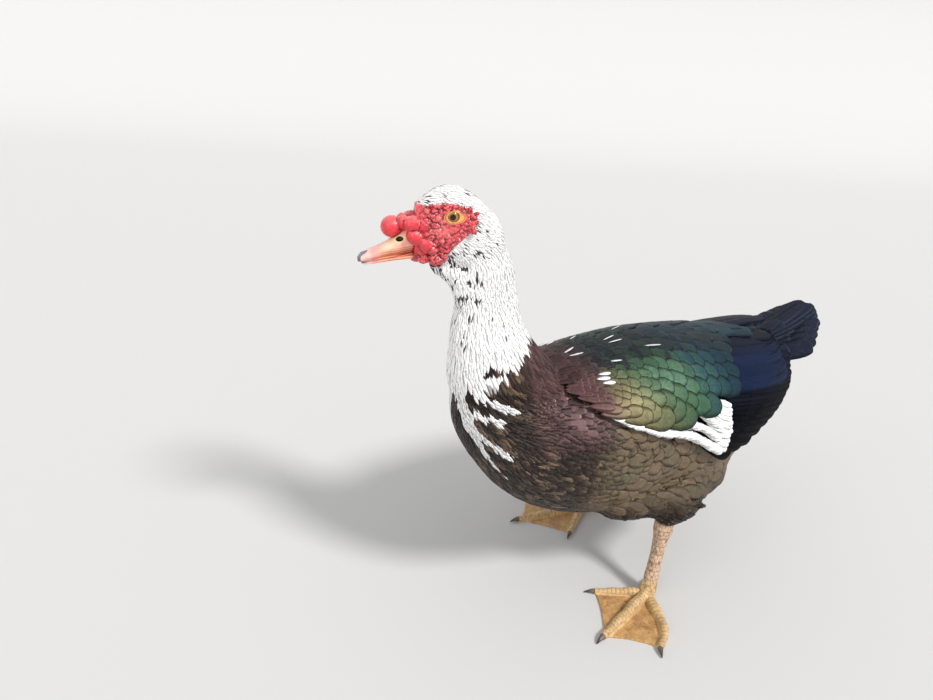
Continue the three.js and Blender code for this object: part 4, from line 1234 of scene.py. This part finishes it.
# From the main quills to the coverts over and under them: how far along the quills they start and end, and
# their heights there over the quills
tailKeys = "count first last half low high roll tone gloss".split()
tailTiers = (
    (8, 0.0, 1.0, 13.5, 0, 0, 1.0, "tail", 0.3),
    (6, -0.1, 0.5, 9.5, 0, 1.5, 0.4, "tail", 0.35),
    (5, -0.32, 0.26, 10, 0, 3.2, 0.3, "slate", 0.35),
    (6, -0.3, 0.55, 9.5, -5, -2.4, 0.3, "navy", 0.1),
    (5, -0.5, 0.22, 10.5, -9, -6, 0.3, "belly", 0.1),
)
tailShared = {"thick": 0.5, "strength": 0.3, "rimWidth": 0.9}


def tailFeathers(tier, side, rng):
    f = dict(zip(tailKeys, tier))
    n, first, last, tone = (f[key] for key in ("count", "first", "last", "tone"))
    share = (np.arange(n) + 0.5) / n
    zero = np.zeros(n)
    ends = [tailPoint(zero + s, share, side, zero, zero) for s in (first, last)]

    def place(s, a, offset, under):
        height = f["low"] + (f["high"] - f["low"]) * s + f["roll"] * a + 0.6 * (1 - a**2) - under
        wide = np.broadcast_to(share[:, None], s.shape)
        return tailPoint(first + (last - first) * s, wide, side, offset, height)

    chance = rng.random(n)
    coat = {
        "root": ends[0], "length": np.linalg.norm(ends[1] - ends[0], axis=1),
        "tint": tones[tone] * 0.8 * (0.85 + 0.3 * chance)[:, None], "tipTint": np.tile(tones[tone], (n, 1)),
        "rim": np.tile(tones["tailSheen"] * 0.6, (n, 1)), "chance": chance, "ragged": 0.03, "bend": 0.01,
    }
    for key, value in (("half", f["half"]), ("gloss", f["gloss"]), *tailShared.items()):
        coat[key] = np.full(n, value)
    return featherPiece("tailTier", coat, "broad", place, side < 0)


def makeTail():
    rng = np.random.default_rng(51)
    parts = [tailFeathers(tier, side, rng) for tier in tailTiers for side in (1, -1)]
    finished(joinedPieces("tailFeathers", parts), "wingPlumage", "tail_plumage", "tail")


makeTail()

# Bare face: the solids' folds and bulbs, with pebbled skin, lids round the eyes and papillae on the edge
faceFacts = {
    "voxel": 0.58, "smoothing": 2, "pebbleGap": 2.0, "pebbleHeight": 0.75, "wrinkle": 0.45, "folds": 1.15,
    "edgeSink": 3.2, "seed": 61,
    "lidRings": ((5.7, 0.5, 0.35), (7.4, 0.6, 0.5)),   # radius, width, height
    "papillae": 96, "papillaSizes": (0.6, 1.1), "papillaRadius": 0.9, "papillaLength": 4.4,
    "papillaBlunt": 0.35, "papillaRaised": 0.3, "papillaInset": (0.3, 3.2), "papillaeTo": 24,
}


def headBox():
    bm = mergedCopy("face", "head")
    tree = BVHTree.FromBMesh(bm)
    bm.free()
    return tree


headTree = headBox()


def onHead(x, z, side):
    # where the head's side is met at x and z of the head's frame, with its normal; None off the head
    return headTree.ray_cast(headSpot(x, 60 * side, z), Vector(-headLeft * side))[:2]


def addPapillae(bm, rng):
    # small pointed growths along the mask's upper and rear edge, leaning away from the eye
    f = faceFacts
    outline = np.array(maskOutline[2:10], float)
    reach = pathReach(outline)
    for side in (1, -1):
        for t in rng.uniform(0, reach[-1], f["papillae"]):
            x, z = (np.interp(t, reach, outline[:, k]) for k in (0, 1))
            inward = unit(np.array([4 - x, -6 - z]))
            x, z = np.array([x, z]) + inward * rng.uniform(*f["papillaInset"])
            spot, normal = onHead(x, z, side)
            if spot is None or x > f["papillaeTo"]:
                continue
            away = Vector(-inward[0] * headForward - inward[1] * headUp)
            way = (Vector(normal) * 0.8 + away * 0.8 - Vector(headForward) * 0.25).normalized()
            size = rng.uniform(*f["papillaSizes"])
            length = f["papillaLength"] * size * 0.001
            radius = f["papillaRadius"] * size * 0.001
            turned = way.to_track_quat("Z", "Y").to_matrix().to_4x4()
            place = Matrix.Translation(spot + way * length * f["papillaRaised"]) @ turned
            bmesh.ops.create_cone(bm, cap_ends=True, segments=10, radius1=radius,
                                  radius2=radius * f["papillaBlunt"], depth=length, matrix=place)


def lidDistance(x, z):
    # rings round the eye, drawn out to a corner behind it
    z = z / 0.82
    away = np.hypot(x, z)
    toCorner = np.clip((-x * 0.94 - z * 0.34) / np.maximum(away, 1e-6), 0, 1)
    toFront = np.clip(x / np.maximum(away, 1e-6), 0, 1)
    return away / (1 + 0.5 * toCorner ** 6 + 0.12 * toFront ** 4)


def makeFace():
    f = faceFacts
    rng = np.random.default_rng(f["seed"])
    bm = mergedCopy("face")
    addPapillae(bm, rng)
    face = remeshed("faceSkin", bm, f["voxel"], f["smoothing"])
    points, normals = pointsOf(face), normalsOf(face)
    local = toHead(points)
    x, _, z = local.T
    edge = maskDistance(local)
    lid = lidDistance(x, z)
    bulb = ramp(x, 21, 29) * ramp(z, -29, -24)
    order = rng.permutation(len(points))
    gaps = np.full(len(points), f["pebbleGap"])
    centres = thinned(points, order, gaps, (bulb < 0.5) & (lid > 7.5))
    size = 0.45 + 1.15 * rng.random(len(centres)) ** 1.6
    pebbles = treeOf(points[centres])
    _, which, away = zip(*(pebbles.find(p) for p in points.tolist()))
    size = size[list(which)]
    dome = np.clip(1 - (np.array(away) / (1.75 * size)) ** 2, 0, 1) ** 0.7
    quiet = np.exp(-((x - 8.5) / 10) ** 2 - ((z + 11.5) / 7.5) ** 2)        # the smoother cheek
    loose = ramp(lid, 7.2, 9.2) * (1 - bulb)
    fold = np.minimum(3.2 * np.abs(grain(points * (1, 1, 1.3), 6.5, 4)), 1) - 0.6
    height = f["pebbleHeight"] * dome * size * (1 - 0.85 * quiet) * loose
    height += f["folds"] * fold * loose * (1 - 0.8 * quiet)
    upperBulb = bulb * ramp(z, -12, -8) * (1 - ramp(x, 42, 47))
    height += f["wrinkle"] * upperBulb * (1 - 2.4 * np.abs(grain(points, 3.4, 2)))
    for radius, width, rise in f["lidRings"]:
        height += rise * np.exp(-((lid - radius) / width) ** 2)
    height -= f["edgeSink"] * ramp(edge, -0.3, 1.6) * (x < 24)
    setPoints(face, points + normals * height[:, None])
    # painted shade: creases, found from the surface's bend, darken towards the dark crease red
    crease = ramp(hollows(face, 2), 0.0, 0.12)
    crease = np.maximum(crease, 0.85 * ramp(hollows(face, 9), 0.004, 0.045))
    crease = crease * (1 - 0.7 * ramp(edge, -3.5, 0) * (x < 20))
    ridge = ramp(-hollows(face, 1), 0.02, 0.2)
    # paler on the smooth cheek and in random patches; paler on ridges and on the bulbs' upward faces as
    # painted highlight
    paleAndLit = 0.3 * quiet + (0.3 * ridge + 0.15 * ramp(grain(points, 9, 7), -0.2, 0.4)) * (1 - bulb)
    paleAndLit += 0.35 * ramp(normals[:, 2], 0.1, 0.9) * bulb
    # the dark crease red is painted shade in the creases, in the folds' hollows, between the pebbles and in
    # a line between the lid's two rings
    setColours(face.data, "tint", layered(
        "face", ("facePale", paleAndLit), ("faceShade", 0.8 * crease),
        ("faceShade", 0.4 * ramp(-fold, 0.1, 0.6) * loose * (1 - quiet)),
        ("faceShade", 0.4 * (1 - ramp(dome, 0.05, 0.5)) * loose * (1 - 0.6 * quiet)),
        ("lid", 0.92 * (1 - ramp(lid, 6.9, 7.7))),
        (tones["faceShade"] * 0.6, np.exp(-((lid - 6.6) / 0.3) ** 2) * 0.7),
    ))
    finished(face, "caruncleSkin", "caruncle_skin", "face")


makeFace()

# Bill, nail and claws: horn, from smoothed copies of the solids
billFacts = {
    "voxel": 0.5, "smoothing": 3,
    "tongue": ((60, 0, -27.4), (27, 11.2, 1.2)),   # centre and radii; closes the gap between the two halves
    "mouth": -27.4, "mouthFrom": 60, "mouthRise": 0.02, "grooveWidth": 0.5, "grooveDepth": 0.5,
    "nostril": (49.5, -12.6), "nostrilSize": (3.6, 2.1), "nostrilDepth": 1.6, "barPitch": 2.0,
}
hornFacts = {"voxel": 0.45, "smoothing": 3}


def makeBill():
    f = billFacts
    bm = mergedCopy("bill_upper", "bill_lower")
    centre, radii = f["tongue"]
    turned = Matrix((headForward, headLeft, headUp)).transposed().to_4x4()
    sized = Matrix.Diagonal((*[r * bird["headScale"] * 0.001 for r in radii], 1))
    matrix = Matrix.Translation(headSpot(*centre)) @ turned @ sized
    bmesh.ops.create_icosphere(bm, subdivisions=3, radius=1, matrix=matrix)
    bill = remeshed("bill", bm, f["voxel"], f["smoothing"])
    points, normals = pointsOf(bill), normalsOf(bill)
    x, y, z = toHead(points).T
    mouth = np.abs(z - f["mouth"] - f["mouthRise"] * (f["mouthFrom"] - x))
    groove = np.exp(-((mouth / f["grooveWidth"]) ** 2)) * (np.abs(y) > 2)
    (holeX, holeZ), (long, high) = f["nostril"], f["nostrilSize"]
    hole = np.hypot((x - holeX) / long, (z - holeZ) / high)
    pit = 1 - ramp(hole, 0.5, 1.0)
    setPoints(bill, points - normals * (f["grooveDepth"] * groove + f["nostrilDepth"] * pit)[:, None])
    cream = np.exp(-(((x - 60) / 8) ** 2) - ((z + 17) / 4.5) ** 2)
    bars = ramp(np.cos((z - 0.05 * x) * 2 * np.pi / f["barPitch"]), -0.3, 0.4)
    barred = ramp(-z, 19.5, 21) * (1 - ramp(x, 62, 74)) * (1 - ramp(-z, 30, 31.5))
    setColours(bill.data, "tint", layered(
        "bill", ("billCream", 0.85 * cream), ("billLow", 0.35 * ramp(-z, 20, 26)),
        (mix("billBar", "billPale", bars), 0.75 * barred),
        ("mouth", np.clip(groove, 0, 1) * (1 - 0.6 * ramp(x, 66, 82))),
        # the nostril's pit is painted near black as painted shade inside the hole
        ("nostrilRim", (1 - ramp(hole, 1.5, 2.0)) * 0.9), ("nostril", 1 - ramp(hole, 0.75, 1.05)),
        ("billTip", 0.5 * ramp(x, 74, 80)),
    ))
    finished(bill, "billHorn", "bill", "bill_upper", "bill_lower")


def hornPiece(name, node, ends, look, slotName):
    # a smoothed copy, with one tone at its root and the other at its end
    piece = remeshed(name, mergedCopy(node), hornFacts["voxel"], hornFacts["smoothing"])
    points = pointsOf(piece)
    centred = points - points.mean(0)
    axis = np.linalg.svd(centred, full_matrices=False)[2][0]
    along = centred @ (axis * (1 if axis[2] < 0 else -1))
    share = ramp(along, along.min(), along.max())
    setColours(piece.data, "tint", mix(*ends, share))
    finished(piece, look, slotName, node)


makeBill()
hornPiece("billNail", "bill_nail", ("nailRoot", "nailEnd"), "nailHorn", "nail")
for sideName in ("left", "right"):
    for toe in ("inner", "middle", "outer", "hind"):
        hornPiece(f"claw{toe.title()}{sideName.title()}", f"claw_{toe}_{sideName}", ("clawRoot", "clawEnd"),
                  "clawHorn", "claw")

# Legs and webbed feet, with scales raised on toes and shanks
legFacts = {
    "left": {"base": (20, -85, 0), "ankle": (44, -70, 76), "yaw": -163, "side": 1},
    "right": {"base": (58, 78, 0), "ankle": (76, 60, 76), "yaw": 170, "side": -1},
}
toeFacts = ((-47, 60, 5.0, 0), (0, 92, 5.8, 0), (38, 80, 5.2, 9))     # degrees, length, radius, bow
scaleFacts = {
    "voxel": 0.8, "smoothing": 2, "toePitch": 4.6, "toeRise": 0.55, "shankPitch": 4.4, "shankRise": 0.5,
    "shankCount": 11, "webRise": 0.25,
}


def makeLeg(sideName):
    f = scaleFacts
    leg = legFacts[sideName]
    nodes = (f"shank_{sideName}", f"foot_{sideName}")
    thing = remeshed(f"leg{sideName.title()}", mergedCopy(*nodes), f["voxel"], f["smoothing"])
    points, normals = pointsOf(thing), normalsOf(thing)
    z = points[:, 2]
    base, ankle = np.array(leg["base"]), np.array(leg["ankle"])
    yaw = math.radians(leg["yaw"])
    flat = points[:, :2] - base[:2]
    ahead = flat @ np.array([math.cos(yaw), math.sin(yaw)])
    aside = flat @ np.array([-math.sin(yaw), math.cos(yaw)]) * leg["side"]
    lift, crease, onToe = np.zeros((3, len(points)))
    for degrees, length, radius, bow in toeFacts:
        angle = math.radians(degrees)
        t = ahead * math.cos(angle) + aside * math.sin(angle)
        bowed = bow * np.sin(np.pi * np.clip(t / length, 0, 1) ** 1.6)
        off = np.abs(aside * math.cos(angle) - ahead * math.sin(angle) - bowed)
        near = (1 - ramp(off, radius * 0.9, radius * 1.3)) * (t > -2) * (t < length + 3)
        cell = np.abs((t / f["toePitch"]) % 1 - 0.5) * 2
        upper = near * ramp(z, 2.5, 4.5) * (z < 22)
        lift = np.maximum(lift, upper * f["toeRise"] * (1 - cell**4))
        crease = np.maximum(crease, upper * ramp(cell, 0.8, 1.0))
        onToe = np.maximum(onToe, near)
    shank = ramp(z, 17, 24)
    out = points[:, :2] - (base[:2] + (ankle - base)[:2] * z[:, None] / ankle[2])
    around = np.arctan2(out[:, 1], out[:, 0]) / (2 * math.pi) * f["shankCount"]
    level = z / f["shankPitch"]
    turnCell = np.abs((around + 0.5 * (np.floor(level) % 2)) % 1 - 0.5) * 2
    cell = np.maximum(turnCell, np.abs(level % 1 - 0.5) * 2)
    lift = np.maximum(lift, shank * f["shankRise"] * (1 - cell**4))
    crease = np.maximum(crease, shank * ramp(cell, 0.78, 1.0))
    web = (1 - onToe) * (1 - shank)
    lift += f["webRise"] * web * grain(points, 2.2, 3)
    setPoints(thing, points + normals * lift[:, None])
    blotch = ramp(grain(points, 14, 6), -0.2, 0.5) * (0.15 + 0.2 * web)
    blotch += 0.3 * web * ramp(grain(points, 1.6, 16), 0.0, 0.4)
    specks = (0.25 + 0.35 * shank) * ramp(grain(points, 3.2, 8), 0.2, 0.42)
    setColours(thing.data, "tint", layered(
        "web", ("toe", onToe * 0.7), ("shank", shank), ("mottle", blotch * (1 - 0.4 * shank)),
        ("speck", specks), ("scaleEdge", 0.75 * crease),
    ))
    finished(thing, "scaledSkin", "scaled_skin", *nodes)


for sideName in legFacts:
    makeLeg(sideName)

# Eyes: a dark pupil set a little forward in a golden iris under a clear wet coat. Reaches are shares of the
# eye's radius
eyeFacts = {"pupil": 0.36, "irisReach": 0.8, "rayScale": 900.0, "gazeAhead": 0.14, "gazeUp": 0.05}


def eyeMaterial(name, centre, turned, radius):
    f = eyeFacts
    material, graph, shader = newMaterial(name)
    ball = addNode(graph, "Mapping", {
        "Vector": addNode(graph, "TexCoord")["Object"], "Location": centre,
        "Rotation": turned.to_euler(), "Scale": (radius, radius, radius),
    }, vector_type="TEXTURE")[0]
    flat = addNode(graph, "SeparateXYZ", {0: ball})
    squares = [mathNode(graph, "MULTIPLY", flat[k], flat[k]) for k in (0, 1)]
    away = mathNode(graph, "SQRT", mathNode(graph, "ADD", *squares))
    iris = mixNode(graph, rangeNode(graph, away, 0.5, f["irisReach"]), tones["iris"], tones["irisRim"])
    rays = mathNode(graph, "MULTIPLY", noiseNode(graph, f["rayScale"], 3.0), 0.5)
    pupil = rangeNode(graph, away, f["pupil"], f["pupil"] + 0.05)
    setSockets(graph, shader, {
        "Base Color": mixNode(graph, pupil, tones["pupil"], mixNode(graph, rays, iris, tones["irisRay"])),
        "Roughness": 0.15, "Specular IOR Level": 0.3, "Coat Weight": 0.35, "Coat Roughness": 0.03,
    })
    looks[name] = material


def makeEye(name, side, node):
    centre = headSpot(0, bird["eyeSpread"] * side, 0)
    gaze = Vector(headLeft * side + eyeFacts["gazeAhead"] * headForward + eyeFacts["gazeUp"] * headUp)
    turned = gaze.to_track_quat("Z", "Y")
    radius = bird["eyeRadius"] * bird["headScale"] * 0.001
    bm = bmesh.new()
    place = Matrix.Translation(centre) @ turned.to_matrix().to_4x4()
    bmesh.ops.create_uvsphere(bm, u_segments=48, v_segments=32, radius=radius, matrix=place)
    for face in bm.faces:
        face.smooth = True
    eyeMaterial(f"{name}Look", centre, turned, radius)
    finished(linked(name, meshOf(name, bm)), f"{name}Look", "eye", node)


makeEye("eyeLeft", 1, "eye_left")
makeEye("eyeRight", -1, "eye_right")

# A pale floor that sweeps up into a backdrop well behind the bird, square to the camera; in metres
sweep = {
    "front": -9.0, "back": 4.0, "radius": 2.5, "height": 5.0, "half": 14.0, "steps": 16,
    "colour": (0.6, 0.59, 0.57), "roughness": 0.9,
}


def makeFloor():
    f = sweep
    bm = bmesh.new()
    profile = [(f["front"], 0.0), (f["back"], 0.0)]
    for i in range(1, f["steps"] + 1):
        angle = i / f["steps"] * math.pi / 2
        profile.append((f["back"] + f["radius"] * math.sin(angle), f["radius"] * (1 - math.cos(angle))))
    profile.append((f["back"] + f["radius"], f["height"]))
    verts = [bm.verts.new((-f["half"], y, z)) for y, z in profile]
    edges = [bm.edges.new(pair) for pair in zip(verts[:-1], verts[1:])]
    made = bmesh.ops.extrude_edge_only(bm, edges=edges)["geom"]
    moved = [v for v in made if isinstance(v, bmesh.types.BMVert)]
    bmesh.ops.translate(bm, verts=moved, vec=(2 * f["half"], 0, 0))
    bmesh.ops.rotate(bm, verts=bm.verts, matrix=Matrix.Rotation(math.radians(view["turn"]), 3, "Z"))
    bmesh.ops.recalc_face_normals(bm, faces=bm.faces)
    for face in bm.faces:
        face.smooth = True
    floor = linked("floor", meshOf("floor", bm))
    material, graph, shader = newMaterial("palePaper")
    setSockets(graph, shader, {"Base Color": (*f["colour"], 1), "Roughness": f["roughness"]})
    floor.data.materials.append(material)


makeFloor()
